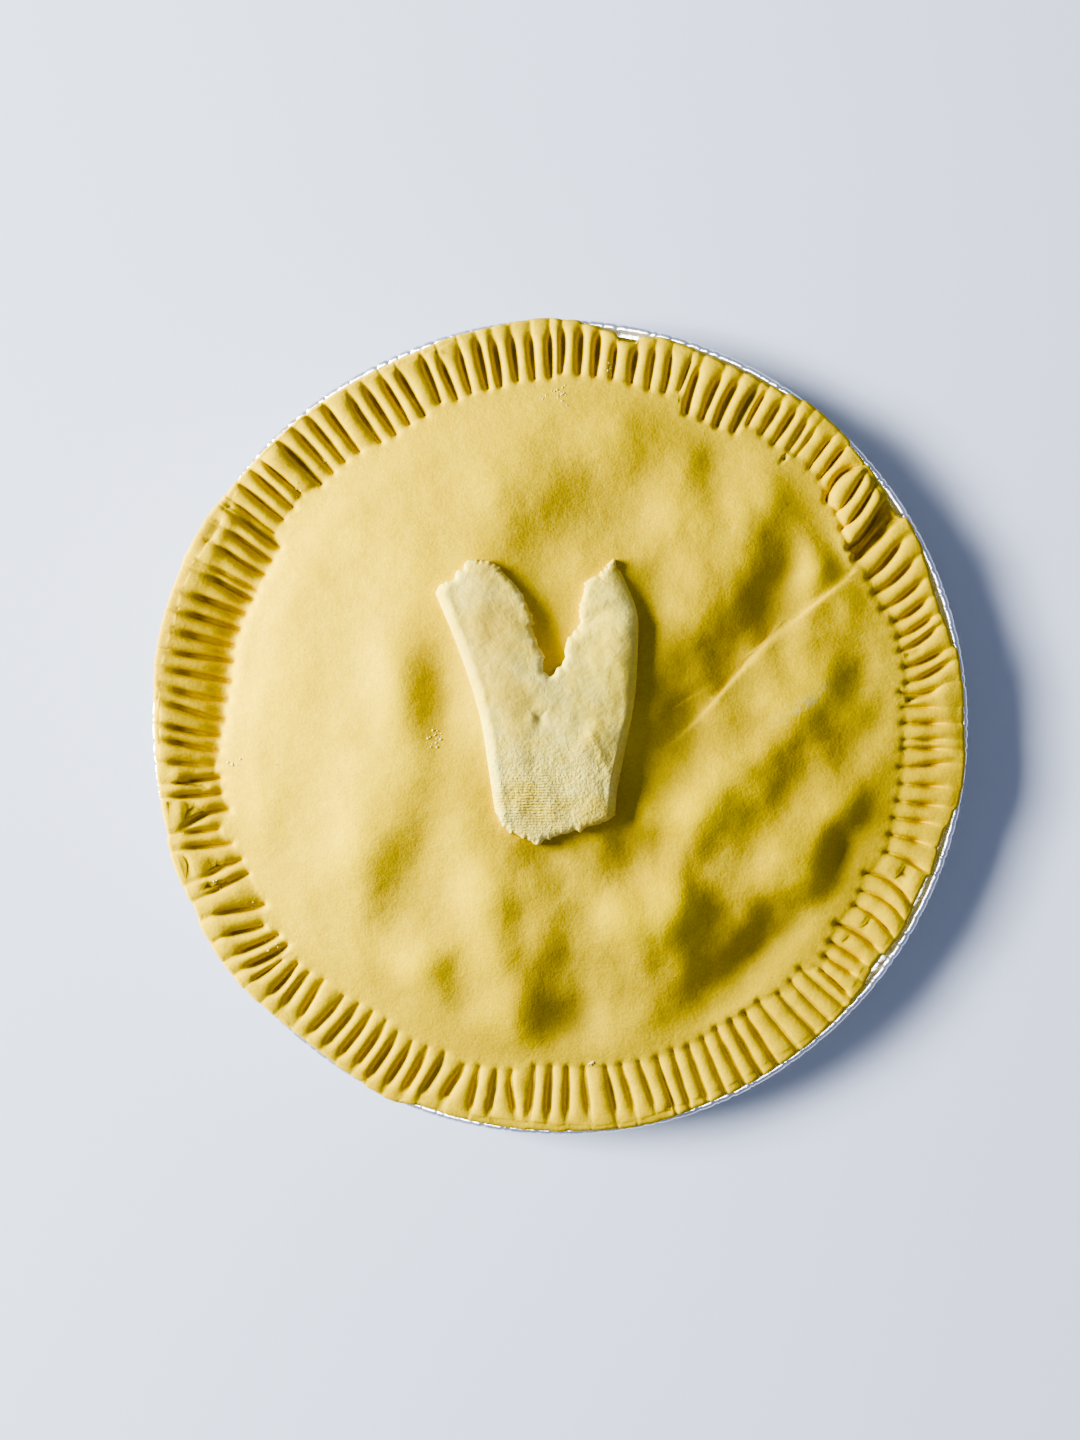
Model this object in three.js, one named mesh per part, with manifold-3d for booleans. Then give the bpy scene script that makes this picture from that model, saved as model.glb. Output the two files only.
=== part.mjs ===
// A round meat pie, made up but not yet baked, in its own foil dish. The rolled lid is lumpy from
// the filling below, has one pleat, and is sealed to the base pastry by rows of fork marks. A
// forked piece of dough, cut by hand, lies on top.
// Millimetres, +Z up. The origin is the centre of the dish's flat base.

import * as THREE from "three";
import { TessellateModifier } from "three/addons/modifiers/TessellateModifier.js";
import { mergeVertices } from "three/addons/utils/BufferGeometryUtils.js";
import Module from "manifold-3d";

// ---------------------------------------------------------------- driving dimensions

const DISH_RADIUS = 120; // over the rolled bead of the dish
const DISH_HEIGHT = 30; // from the table to the top of the flange
const BASE_RADIUS = 92; // where the flat base turns up into the wall
const MOUTH_RADIUS = 111; // where the wall turns out into the flange
const FOIL = 0.5; // thickness of the dish's wall
const BEAD_RADIUS = 1.3; // section of the rolled bead
const CORNER_RADIUS = 4; // between the base and the wall
const FLUTES = 40; // pleats pressed into the wall
const FLUTE_DEPTH = 0.5; // in and out of the mean wall
const FLUTE_BOTTOM = 5; // height where the flutes reach their full depth
const FLUTE_TOP = 25; // and where they start to fade again
const FIT_GAP = 0.35; // between the dish and the pastry, and between the lid and what lies on it

const LID_EDGE_HEIGHT = 35; // lid surface where the fork tips stop
const DOME_HEIGHT = 8.5; // rise of the lid from there to its middle
const DOME_FULLNESS = 3.2; // a higher power gives a flatter top and steeper shoulders
const EDGE_RADIUS = 117.4; // mean outline of the trimmed pastry
const EDGE_TOP = 36.5; // pastry surface at its outline
const EDGE_BOTTOM = 31.7; // underside of the pastry at its outline, clear of the bead

const TINE_PITCH = 2.75; // degrees between two tines of the fork
const GROOVE_TOP = 0.3; // half the width of a mark at the surface, as a share of the pitch
const GROOVE_FLOOR = 0.12; // half the width of its floor
const GROOVE_DEPTH = 2.6; // under the tip of a tine

const LEAF_THICKNESS = 3.6; // of the forked piece on the lid
const LEAF_BEVEL = 1.0; // its rounded edge

// Fork presses round the rim, counter-clockwise from +X: angle of the middle of the tips, number
// of marks, how far they drift round the rim on their way out, and the radius where the tips stop.
const FORK_PRESSES = [
  [2.0, 4, 1.3, 100.5],
  [11.1, 4, 1.7, 102.0],
  [21.9, 4, 2.0, 100.0],
  [37.2, 3, 1.4, 101.5],
  [46.6, 3, 0.4, 105.4],
  [55.6, 3, 0.2, 103.7],
  [64.0, 4, 0.1, 99.6],
  [74.3, 4, 0.5, 102.5],
  [85.7, 4, -0.1, 103.1],
  [95.7, 4, 0.0, 101.7],
  [106.3, 4, 0.0, 100.8],
  [118.1, 4, 0.3, 98.5],
  [130.4, 4, -0.2, 99.9],
  [141.9, 4, -0.2, 101.0],
  [151.5, 4, -0.7, 97.3],
  [161.7, 4, -0.4, 97.9],
  [172.5, 3, -1.1, 96.7],
  [182.7, 4, -1.4, 99.6],
  [192.4, 4, -0.6, 99.3],
  [201.9, 3, -1.3, 100.5],
  [214.7, 4, -2.0, 101.9],
  [224.6, 3, 0.8, 101.9],
  [235.4, 4, 0.0, 99.6],
  [246.3, 4, -0.3, 100.5],
  [258.3, 4, 0.0, 101.9],
  [270.0, 4, -0.2, 99.0],
  [280.8, 3, 0.2, 99.9],
  [290.6, 4, 0.1, 99.9],
  [301.7, 4, 0.1, 98.7],
  [312.3, 3, 0.6, 99.3],
  [321.6, 3, 0.8, 100.8],
  [331.5, 3, -0.4, 99.3],
  [342.0, 3, 0.3, 101.4],
  [352.0, 4, 0.7, 100.5],
];
// A tear in the rim where the pleat runs under it: angle, half width, drift, reach and depth.
const TEAR = { angle: 30.4, halfWidth: 1.3, drift: 1.7, reach: 98.6, depth: 3.6 };

// Where the trimmed outline swells past its mean radius or falls short of it: angle, half width
// in degrees, and how far.
const EDGE_SWELLS = [
  [4, 5, 0.9],
  [18, 6, -0.9],
  [27, 3, 0.8],
  [48, 6, 2.1],
  [62, 6, -0.6],
  [80, 2.5, -3.4],
  [92, 6, 1.9],
  [119, 8, -0.6],
  [160, 13, 2.0],
  [205, 14, 2.2],
  [246, 4, 2.2],
  [323, 2.2, -2.2],
  [332, 6, -1.6],
  [351, 4, 1.9],
];

// Where the pressed rim stands up, as the torn piece beside the pleat does: angle, half width, lift.
const RIM_LIFTS = [
  [37, 4, 1.3],
  [328, 7, 0.7],
  [190, 9, 0.5],
];

// Chunks of filling that push the lid up, or hollows between them where the height is negative:
// x, y, spread, height, stretch along its own length, and the direction of that length in degrees.
const LUMPS = [
  [-43, 14, 8, 2.0, 1.8, 95],
  [-50, -36, 9, 1.8, 1.3, 60],
  [-37, -41, 6, -1.3, 1.2, 80],
  [-42, -70, 7, 1.8, 1.2, 100],
  [-14, -73, 7, 2.0, 1.2, 95],
  [1, -79, 5, -0.9, 1, 0],
  [-4, -46, 7, 1.1, 1.2, 30],
  [14, -57, 7, 1.3, 1.2, 60],
  [26, -68, 11, 3.2, 1.5, 85],
  [40, -78, 8, -1.6, 1.4, 85],
  [52, -64, 7, 1.5, 1.2, 60],
  [37, -26, 6, 1.9, 1.1, 0],
  [24, -38, 6, -1.2, 1.2, 150],
  [60, -40, 8, 1.9, 1.4, 40],
  [56, -10, 8, 1.2, 1.8, 30],
  [77, -26, 7, 1.6, 1.8, 35],
  [82, -4, 7, -1.6, 2.2, 50],
  [84, -43, 7, -1.5, 2.0, 60],
  [44, 40, 9, 2.8, 1.9, 72],
  [56, 30, 8, -2.0, 2.2, 42],
  [74, 46, 6, 1.7, 1.2, 40],
  [80, 60, 7, -1.6, 1.8, 20],
  [10, 58, 10, -1.2, 1.6, 40],
  [-8, 72, 12, 1.0, 1.4, 60],
  [40, 76, 9, 0.9, 1.2, 120],
  [-72, 30, 13, 0.9, 1.4, 70],
];

// The pleat: its edge runs from the middle of the lid to the rim, and the upper layer lies to the
// right of it, highest at the rim.
const PLEAT_POINTS = [
  [30, -7],
  [41, 3.5],
  [60, 24.5],
  [70, 32.5],
  [86, 44.5],
];
const PLEAT_HEIGHT = 3.0;
const PLEAT_WIDTH = 24;

// Outline of the forked piece, clockwise from the outer corner of its left prong. Each run is a
// smooth curve from the point before it; the corners lie between the runs.
const LEAF_START = [-36, 38.6];
const LEAF_RUNS = [
  [[-34.8, 41]],
  [[-31.4, 42], [-28.8, 45.4], [-26, 48]],
  [[-19.5, 47.4], [-12, 39.6], [-7.6, 30.4]],
  [[-7.2, 25.5], [-4.6, 20], [-4.9, 15.8]],
  [[-2.2, 15.6], [0.5, 18.8]],
  [[2.4, 25.5], [5.2, 30.2], [5.6, 35.4], [7.6, 42]],
  [[11.4, 44.8], [15.4, 47.4]],
  [[18.6, 42.4], [22.2, 32.8], [22.3, 21.6], [21.4, 8], [18.8, -5.8], [16.4, -18]],
  [[15.8, -24.8]],
  [[12, -27.4], [-1, -31.2], [-5.8, -33]],
  [[-14.8, -30.2], [-18.8, -24.2]],
  [[-20.4, -13.8], [-22.6, 0.5], [-26, 13], [-31, 26.8]],
];

const PASTRY_COLOUR = 0xe2ca76;
const LEAF_COLOUR = 0xe4d6a4;
const FOIL_COLOUR = 0xc4c8cc;

// ---------------------------------------------------------------- small helpers

const { degToRad, lerp, clamp, smoothstep } = THREE.MathUtils;

const wasm = await Module();
wasm.setup();

// Turn from angle b to angle a, in degrees, between -180 and 180.
function turnBetween(a, b) {
  return ((((a - b) % 360) + 540) % 360) - 180;
}

// A smooth hump round the rim, 1 at its middle.
function hump(angle, middle, halfWidth) {
  return Math.exp(-((turnBetween(angle, middle) / halfWidth) ** 2));
}

function humps(angle, list) {
  return list.reduce((sum, [middle, halfWidth, size]) => sum + size * hump(angle, middle, halfWidth), 0);
}

function toSolid(geometry) {
  const bare = new THREE.BufferGeometry();
  bare.setAttribute("position", geometry.getAttribute("position"));
  if (geometry.index) bare.setIndex(geometry.index);
  const merged = mergeVertices(bare, 1e-3);
  return new wasm.Manifold(
    new wasm.Mesh({
      numProp: 3,
      vertProperties: new Float32Array(merged.attributes.position.array),
      triVerts: new Uint32Array(merged.index.array),
    }),
  );
}

function toGeometry(solid) {
  const mesh = solid.getMesh();
  const geometry = new THREE.BufferGeometry();
  geometry.setAttribute("position", new THREE.BufferAttribute(mesh.vertProperties, 3));
  geometry.setIndex(new THREE.BufferAttribute(mesh.triVerts, 1));
  geometry.computeVertexNormals();
  return geometry;
}

// ---------------------------------------------------------------- foil dish

function arcPoints(x, z, radius, fromDegrees, toDegrees, steps) {
  return Array.from({ length: steps + 1 }, (_, i) => {
    const a = degToRad(lerp(fromDegrees, toDegrees, i / steps));
    return new THREE.Vector2(x + radius * Math.cos(a), z + radius * Math.sin(a));
  });
}

// Section of the dish from the axis out along its underside, round the bead, and back inside.
function dishProfile() {
  const beadX = DISH_RADIUS - BEAD_RADIUS;
  const beadZ = DISH_HEIGHT - BEAD_RADIUS * 0.3;
  const wallPoint = (z, offset) =>
    new THREE.Vector2(lerp(BASE_RADIUS - 1, MOUTH_RADIUS, (z - 2) / (DISH_HEIGHT - 2)) + offset, z);
  return [
    new THREE.Vector2(0, 0),
    ...arcPoints(BASE_RADIUS - CORNER_RADIUS, CORNER_RADIUS, CORNER_RADIUS, -90, -32, 2),
    wallPoint(FLUTE_BOTTOM, FOIL),
    wallPoint(FLUTE_TOP, FOIL),
    new THREE.Vector2(MOUTH_RADIUS + FOIL * 0.7, DISH_HEIGHT - FOIL),
    ...arcPoints(beadX, beadZ, BEAD_RADIUS, 180, 523, 6),
    new THREE.Vector2(MOUTH_RADIUS, DISH_HEIGHT),
    wallPoint(FLUTE_TOP, 0),
    wallPoint(FLUTE_BOTTOM, 0),
    ...arcPoints(BASE_RADIUS - CORNER_RADIUS, CORNER_RADIUS, CORNER_RADIUS - FOIL, -32, -90, 2),
    new THREE.Vector2(0, FOIL),
  ];
}

// Share of the flutes' full depth at a height up the wall: none at the base or the flange.
function fluteShare(z) {
  return smoothstep(z, 0, FLUTE_BOTTOM) * (1 - smoothstep(z, FLUTE_TOP, DISH_HEIGHT - 0.6));
}

function dishGeometry() {
  const geometry = new THREE.LatheGeometry(dishProfile(), FLUTES * 2).rotateX(Math.PI / 2);
  const position = geometry.attributes.position;
  for (let i = 0; i < position.count; i++) {
    const x = position.getX(i);
    const y = position.getY(i);
    const radius = Math.hypot(x, y);
    if (radius < BASE_RADIUS - CORNER_RADIUS) continue;
    const wave = FLUTE_DEPTH * Math.cos(FLUTES * Math.atan2(y, x)) * fluteShare(position.getZ(i));
    position.setXY(i, (x * (radius + wave)) / radius, (y * (radius + wave)) / radius);
  }
  return toGeometry(toSolid(geometry));
}

// ---------------------------------------------------------------- shape of the pastry

// Every fork mark, in order round the rim.
function forkMarks() {
  const marks = FORK_PRESSES.flatMap(([angle, tines, drift, reach]) =>
    Array.from({ length: tines }, (_, i) => ({
      angle: angle + (i - (tines - 1) / 2) * TINE_PITCH,
      halfWidth: GROOVE_TOP * TINE_PITCH,
      floorHalfWidth: GROOVE_FLOOR * TINE_PITCH,
      depth: GROOVE_DEPTH,
      drift,
      reach,
    })),
  );
  marks.push({ ...TEAR, floorHalfWidth: TEAR.halfWidth * 0.7 });
  marks.sort((a, b) => a.angle - b.angle);
  // Two presses that meet leave a narrow ridge, so their marks are held apart.
  marks.forEach((mark, i) => {
    const next = marks[(i + 1) % marks.length];
    const room = Math.abs(turnBetween(next.angle, mark.angle)) * 0.44;
    mark.halfWidth = Math.min(mark.halfWidth, room);
    next.halfWidth = Math.min(next.halfWidth, room);
    mark.floorHalfWidth = Math.min(mark.floorHalfWidth, mark.halfWidth * 0.6);
    next.floorHalfWidth = Math.min(next.floorHalfWidth, next.halfWidth * 0.6);
  });
  return marks;
}

const MARKS = forkMarks();

// Radius where the fork tips stop, blended between neighbouring marks.
function reachAt(angle) {
  let i = MARKS.findIndex((mark) => mark.angle > ((angle % 360) + 360) % 360);
  if (i < 0) i = 0;
  const after = MARKS[i];
  const before = MARKS[(i + MARKS.length - 1) % MARKS.length];
  const gap = turnBetween(after.angle, before.angle);
  return lerp(before.reach, after.reach, clamp(turnBetween(angle, before.angle) / gap, 0, 1));
}

function edgeAt(angle) {
  return EDGE_RADIUS + humps(angle, EDGE_SWELLS);
}

function lumpHeight(x, y) {
  return LUMPS.reduce((sum, [lumpX, lumpY, spread, height, stretch, turn]) => {
    const c = Math.cos(degToRad(turn));
    const s = Math.sin(degToRad(turn));
    const along = ((x - lumpX) * c + (y - lumpY) * s) / (spread * stretch);
    const across = ((y - lumpY) * c - (x - lumpX) * s) / spread;
    return sum + height * Math.exp(-(along * along + across * across));
  }, 0);
}

// Top surface of the lid inside the fork marks.
function lidHeight(x, y) {
  const share = Math.hypot(x, y) / reachAt(THREE.MathUtils.radToDeg(Math.atan2(y, x)));
  const dome = DOME_HEIGHT * (1 - share ** DOME_FULLNESS);
  return LID_EDGE_HEIGHT + dome + lumpHeight(x, y) * (1 - smoothstep(share, 0.84, 0.98));
}

// ---------------------------------------------------------------- pastry as stacked rings

// A ring is a list of { angle, point }, counter-clockwise; one with a single point is a pole.
function evenRing(count, place) {
  return Array.from({ length: count }, (_, i) => {
    const angle = (i * 360) / count;
    return { angle, point: place(angle) };
  });
}

function polar(angle, radius, z) {
  return new THREE.Vector3(radius * Math.cos(degToRad(angle)), radius * Math.sin(degToRad(angle)), z);
}

// Triangles between two rings of any counts, always stepping along the ring that lags behind.
function stitch(inner, outer, triangles) {
  let i = 0;
  let j = 0;
  const angleOf = (ring, k) => ring[k % ring.length].angle + 360 * Math.floor(k / ring.length);
  const innerSteps = inner.length > 1 ? inner.length : 0;
  while (i < innerSteps || j < outer.length) {
    const a = inner[i % inner.length].point;
    const b = outer[j % outer.length].point;
    const stepInner = j >= outer.length || (i < innerSteps && angleOf(inner, i + 1) < angleOf(outer, j + 1));
    if (stepInner) {
      i += 1;
      triangles.push(a, b, inner[i % inner.length].point);
    } else {
      j += 1;
      triangles.push(a, b, outer[j % outer.length].point);
    }
  }
}

function lidRings() {
  const shares = [0.09, 0.18, 0.28, 0.38, 0.48, 0.58, 0.68, 0.77, 0.85, 0.92];
  const pole = [{ angle: 0, point: new THREE.Vector3(0, 0, lidHeight(0, 0)) }];
  return [
    pole,
    ...shares.map((share, k) =>
      evenRing(16 + 12 * k, (angle) => {
        const flat = polar(angle, share * reachAt(angle), 0);
        return flat.setZ(lidHeight(flat.x, flat.y));
      }),
    ),
  ];
}

// Sample lines that follow the fork marks out over the rim: ridge, floor, floor, ridge.
function markLines() {
  return MARKS.flatMap((mark) =>
    [-mark.halfWidth, -mark.floorHalfWidth, mark.floorHalfWidth, mark.halfWidth].map((offset, k) => ({
      mark,
      angle: mark.angle + offset,
      pressed: k === 1 || k === 2,
    })),
  );
}

// One ring of the pressed band. How far out it lies and how deep the marks are there is given by
// place(reach, edge) and depthShare; rimHeight gives the height of the ridges.
function bandRing(radiusOf, heightOf, depthShare) {
  return markLines().map(({ mark, angle, pressed }) => {
    const reach = reachAt(angle);
    const edge = edgeAt(angle);
    const radius = radiusOf(reach, edge);
    const out = clamp((radius - reach) / (edge - reach), 0, 1);
    const turned = angle + mark.drift * out;
    const lift = humps(turned, RIM_LIFTS) * Math.sin(Math.PI * clamp(out + 0.15, 0, 1));
    const depth = pressed ? mark.depth * depthShare : 0;
    return { angle, point: polar(turned, radius, heightOf(angle, radius) + lift - depth) };
  });
}

function bandRings() {
  const ridge = (share) => () => lerp(LID_EDGE_HEIGHT, EDGE_TOP, share) + 0.3;
  const lidTop = (angle, radius) => {
    const flat = polar(angle, radius, 0);
    return lidHeight(flat.x, flat.y);
  };
  return [
    bandRing((reach) => reach - 1.2, lidTop, 0),
    bandRing((reach) => reach + 0.5, ridge(0), 1),
    bandRing((reach, edge) => lerp(reach, edge, 0.5), ridge(0.6), 0.85),
    bandRing((_, edge) => edge - 1.5, ridge(0.8), 0.35),
    bandRing((_, edge) => edge, () => lerp(EDGE_BOTTOM, EDGE_TOP, 0.5), 0),
    bandRing((_, edge) => edge - 0.8, () => EDGE_BOTTOM, 0),
  ];
}

// The part of the pastry that lies in the dish, a gap clear of its flange, wall and base.
function sunkRings() {
  const slope = (MOUTH_RADIUS - BASE_RADIUS) / DISH_HEIGHT;
  const wall = (z) => BASE_RADIUS + slope * z - FLUTE_DEPTH - FIT_GAP;
  const flangeTop = DISH_HEIGHT + FIT_GAP;
  const flangeEdge = DISH_RADIUS - 2 * BEAD_RADIUS - FIT_GAP - 1;
  const count = FLUTES * 2;
  return [
    evenRing(count, (a) => polar(a, Math.min(flangeEdge, edgeAt(a) - 1.6), flangeTop)),
    evenRing(count, (a) => polar(a, MOUTH_RADIUS - 0.8, flangeTop)),
    evenRing(count, (a) => polar(a, wall(DISH_HEIGHT - 3) - 0.4, DISH_HEIGHT - 3)),
    evenRing(count, (a) => polar(a, wall(6) - 2.4, 6)),
    evenRing(count, (a) => polar(a, BASE_RADIUS - CORNER_RADIUS - 1, FOIL + FIT_GAP)),
    [{ angle: 0, point: new THREE.Vector3(0, 0, FOIL + FIT_GAP) }],
  ];
}

function ringsGeometry(rings) {
  const triangles = [];
  for (let k = 0; k + 1 < rings.length; k++) {
    if (rings[k + 1].length > 1) {
      stitch(rings[k], rings[k + 1], triangles);
    } else {
      const [{ point: pole }] = rings[k + 1];
      rings[k].forEach(({ point }, i) => triangles.push(point, pole, rings[k][(i + 1) % rings[k].length].point));
    }
  }
  return new THREE.BufferGeometry().setFromPoints(triangles);
}

// The pleat's upper layer: a thin wedge of dough over the lid, thickest along its free edge.
function pleatGeometry() {
  const line = new THREE.SplineCurve(PLEAT_POINTS.map(([x, y]) => new THREE.Vector2(x, y)));
  const lengthSteps = 14;
  const widthSteps = 4;
  const corner = (i, j, top) => {
    const t = i / lengthSteps;
    const across = j / widthSteps;
    const at = line.getPoint(t);
    const along = line.getTangent(t);
    const x = at.x + along.y * PLEAT_WIDTH * across * lerp(0.4, 1, t);
    const y = at.y - along.x * PLEAT_WIDTH * across * lerp(0.4, 1, t);
    const rise = PLEAT_HEIGHT * smoothstep(t, 0, 0.75) * (1 - across) ** 1.5;
    return new THREE.Vector3(x, y, lidHeight(x, y) + (top ? rise - 0.15 : -1.5));
  };
  const triangles = [];
  const quad = (a, b, c, d) => triangles.push(a, b, c, a, c, d);
  for (let i = 0; i < lengthSteps; i++) {
    for (let j = 0; j < widthSteps; j++) {
      quad(corner(i, j, true), corner(i, j + 1, true), corner(i + 1, j + 1, true), corner(i + 1, j, true));
      quad(corner(i, j, false), corner(i + 1, j, false), corner(i + 1, j + 1, false), corner(i, j + 1, false));
    }
    quad(corner(i, 0, false), corner(i, 0, true), corner(i + 1, 0, true), corner(i + 1, 0, false));
    quad(
      corner(i, widthSteps, true),
      corner(i, widthSteps, false),
      corner(i + 1, widthSteps, false),
      corner(i + 1, widthSteps, true),
    );
  }
  for (let j = 0; j < widthSteps; j++) {
    const last = lengthSteps;
    quad(corner(0, j, true), corner(0, j, false), corner(0, j + 1, false), corner(0, j + 1, true));
    quad(corner(last, j, false), corner(last, j, true), corner(last, j + 1, true), corner(last, j + 1, false));
  }
  return new THREE.BufferGeometry().setFromPoints(triangles);
}

function pastrySolid() {
  const body = toSolid(ringsGeometry([...lidRings(), ...bandRings(), ...sunkRings()]));
  return body.add(toSolid(pleatGeometry()));
}

// ---------------------------------------------------------------- forked piece on the lid

function leafShape() {
  const shape = new THREE.Shape().moveTo(...LEAF_START);
  for (const run of LEAF_RUNS) {
    if (run.length === 1) shape.lineTo(...run[0]);
    else shape.splineThru(run.map(([x, y]) => new THREE.Vector2(x, y)));
  }
  return shape;
}

// A bevelled slab, cut fine enough to drape over the lid, less the lid itself.
function leafGeometry(pastryGeometry) {
  const slab = new THREE.ExtrudeGeometry(leafShape(), {
    depth: LEAF_THICKNESS - LEAF_BEVEL + 2,
    bevelThickness: LEAF_BEVEL,
    bevelSize: LEAF_BEVEL,
    bevelOffset: -LEAF_BEVEL,
    bevelSegments: 1,
    curveSegments: 2,
  });
  slab.deleteAttribute("normal");
  slab.deleteAttribute("uv");
  const draped = new TessellateModifier(12, 16).modify(slab.translate(0, 0, FIT_GAP - 2));
  const position = draped.attributes.position;
  for (let i = 0; i < position.count; i++) {
    position.setZ(i, position.getZ(i) + lidHeight(position.getX(i), position.getY(i)));
  }
  const lid = pastryGeometry.clone().translate(0, 0, FIT_GAP);
  return toGeometry(toSolid(draped).subtract(toSolid(lid)));
}

// ---------------------------------------------------------------- scene

function named(name, geometry, material) {
  const mesh = new THREE.Mesh(geometry, material);
  mesh.name = name;
  return mesh;
}

const foil = new THREE.MeshStandardMaterial({ color: FOIL_COLOUR, roughness: 0.35, metalness: 1 });
const pastry = new THREE.MeshStandardMaterial({ color: PASTRY_COLOUR, roughness: 0.55, metalness: 0 });
const leafDough = new THREE.MeshStandardMaterial({ color: LEAF_COLOUR, roughness: 0.75, metalness: 0 });

const pastryGeometry = toGeometry(pastrySolid());
const pie = new THREE.Group();
pie.add(named("foil_dish", dishGeometry(), foil));
pie.add(named("pastry_case", pastryGeometry, pastry));
pie.add(named("forked_cutout", leafGeometry(pastryGeometry), leafDough));

export default pie;
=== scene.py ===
# Looks of a round meat pie of raw pastry in its foil dish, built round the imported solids.
# Sizes here are millimetres and degrees, and metres for the lamps and in the materials. The angle 0
# is +X and grows counter-clockwise seen from above.

import math

import bmesh
import bpy
import numpy as np
from mathutils import Matrix, Vector, noise
from mathutils.bvhtree import BVHTree


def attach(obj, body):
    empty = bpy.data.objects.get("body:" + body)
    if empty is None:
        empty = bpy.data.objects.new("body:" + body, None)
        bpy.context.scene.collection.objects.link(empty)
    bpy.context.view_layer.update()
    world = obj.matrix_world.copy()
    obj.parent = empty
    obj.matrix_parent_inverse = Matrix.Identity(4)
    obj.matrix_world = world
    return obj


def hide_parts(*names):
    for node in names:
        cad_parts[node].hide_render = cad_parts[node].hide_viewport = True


MM = 0.001
BODY = "root"
SEED = 20

# ---------------------------------------------------------------- sizes shared with the solids

DISH_RADIUS = 120.0  # over the rolled bead
DISH_HEIGHT = 30.0  # top of the flange
BASE_RADIUS = 92.0
MOUTH_RADIUS = 111.0
CORNER_RADIUS = 4.0
BEAD_RADIUS = 1.3
FLUTES = 40
FLUTE_DEPTH = 0.5
FLUTE_BOTTOM = 5.0
FLUTE_TOP = 25.0

LID_EDGE_HEIGHT = 34.2  # lid surface where the fork tips stop
DOME_HEIGHT = 6.0
DOME_FULLNESS = 2.2
DOME_RADIUS = 100.0
DOME_EASE = 1.3  # how gently the dome meets the pressed rim
EDGE_BOTTOM = 31.7
SUNK_BOTTOM = 0.85  # underside of the base pastry

# ---------------------------------------------------------------- fork marks


def press(tips, reach, end, lean, bow, floor, depth, lift=0.0, pinch=0.0):
    """Marks of one press of the fork.

    tips are the angles where the tines' tips went in, reach is the tips' radius and end the radius
    where the marks run out. lean is how far they turn round the rim on the way out, and bow how far
    their middle strays. floor is half the width of a mark's floor. lift raises the ridge that
    follows each mark, and pinch is how shallow a mark is between its tip and its outer half.
    """
    return [(tip, reach, end, lean, bow, floor, depth, lift, pinch) for tip in tips]


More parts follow.
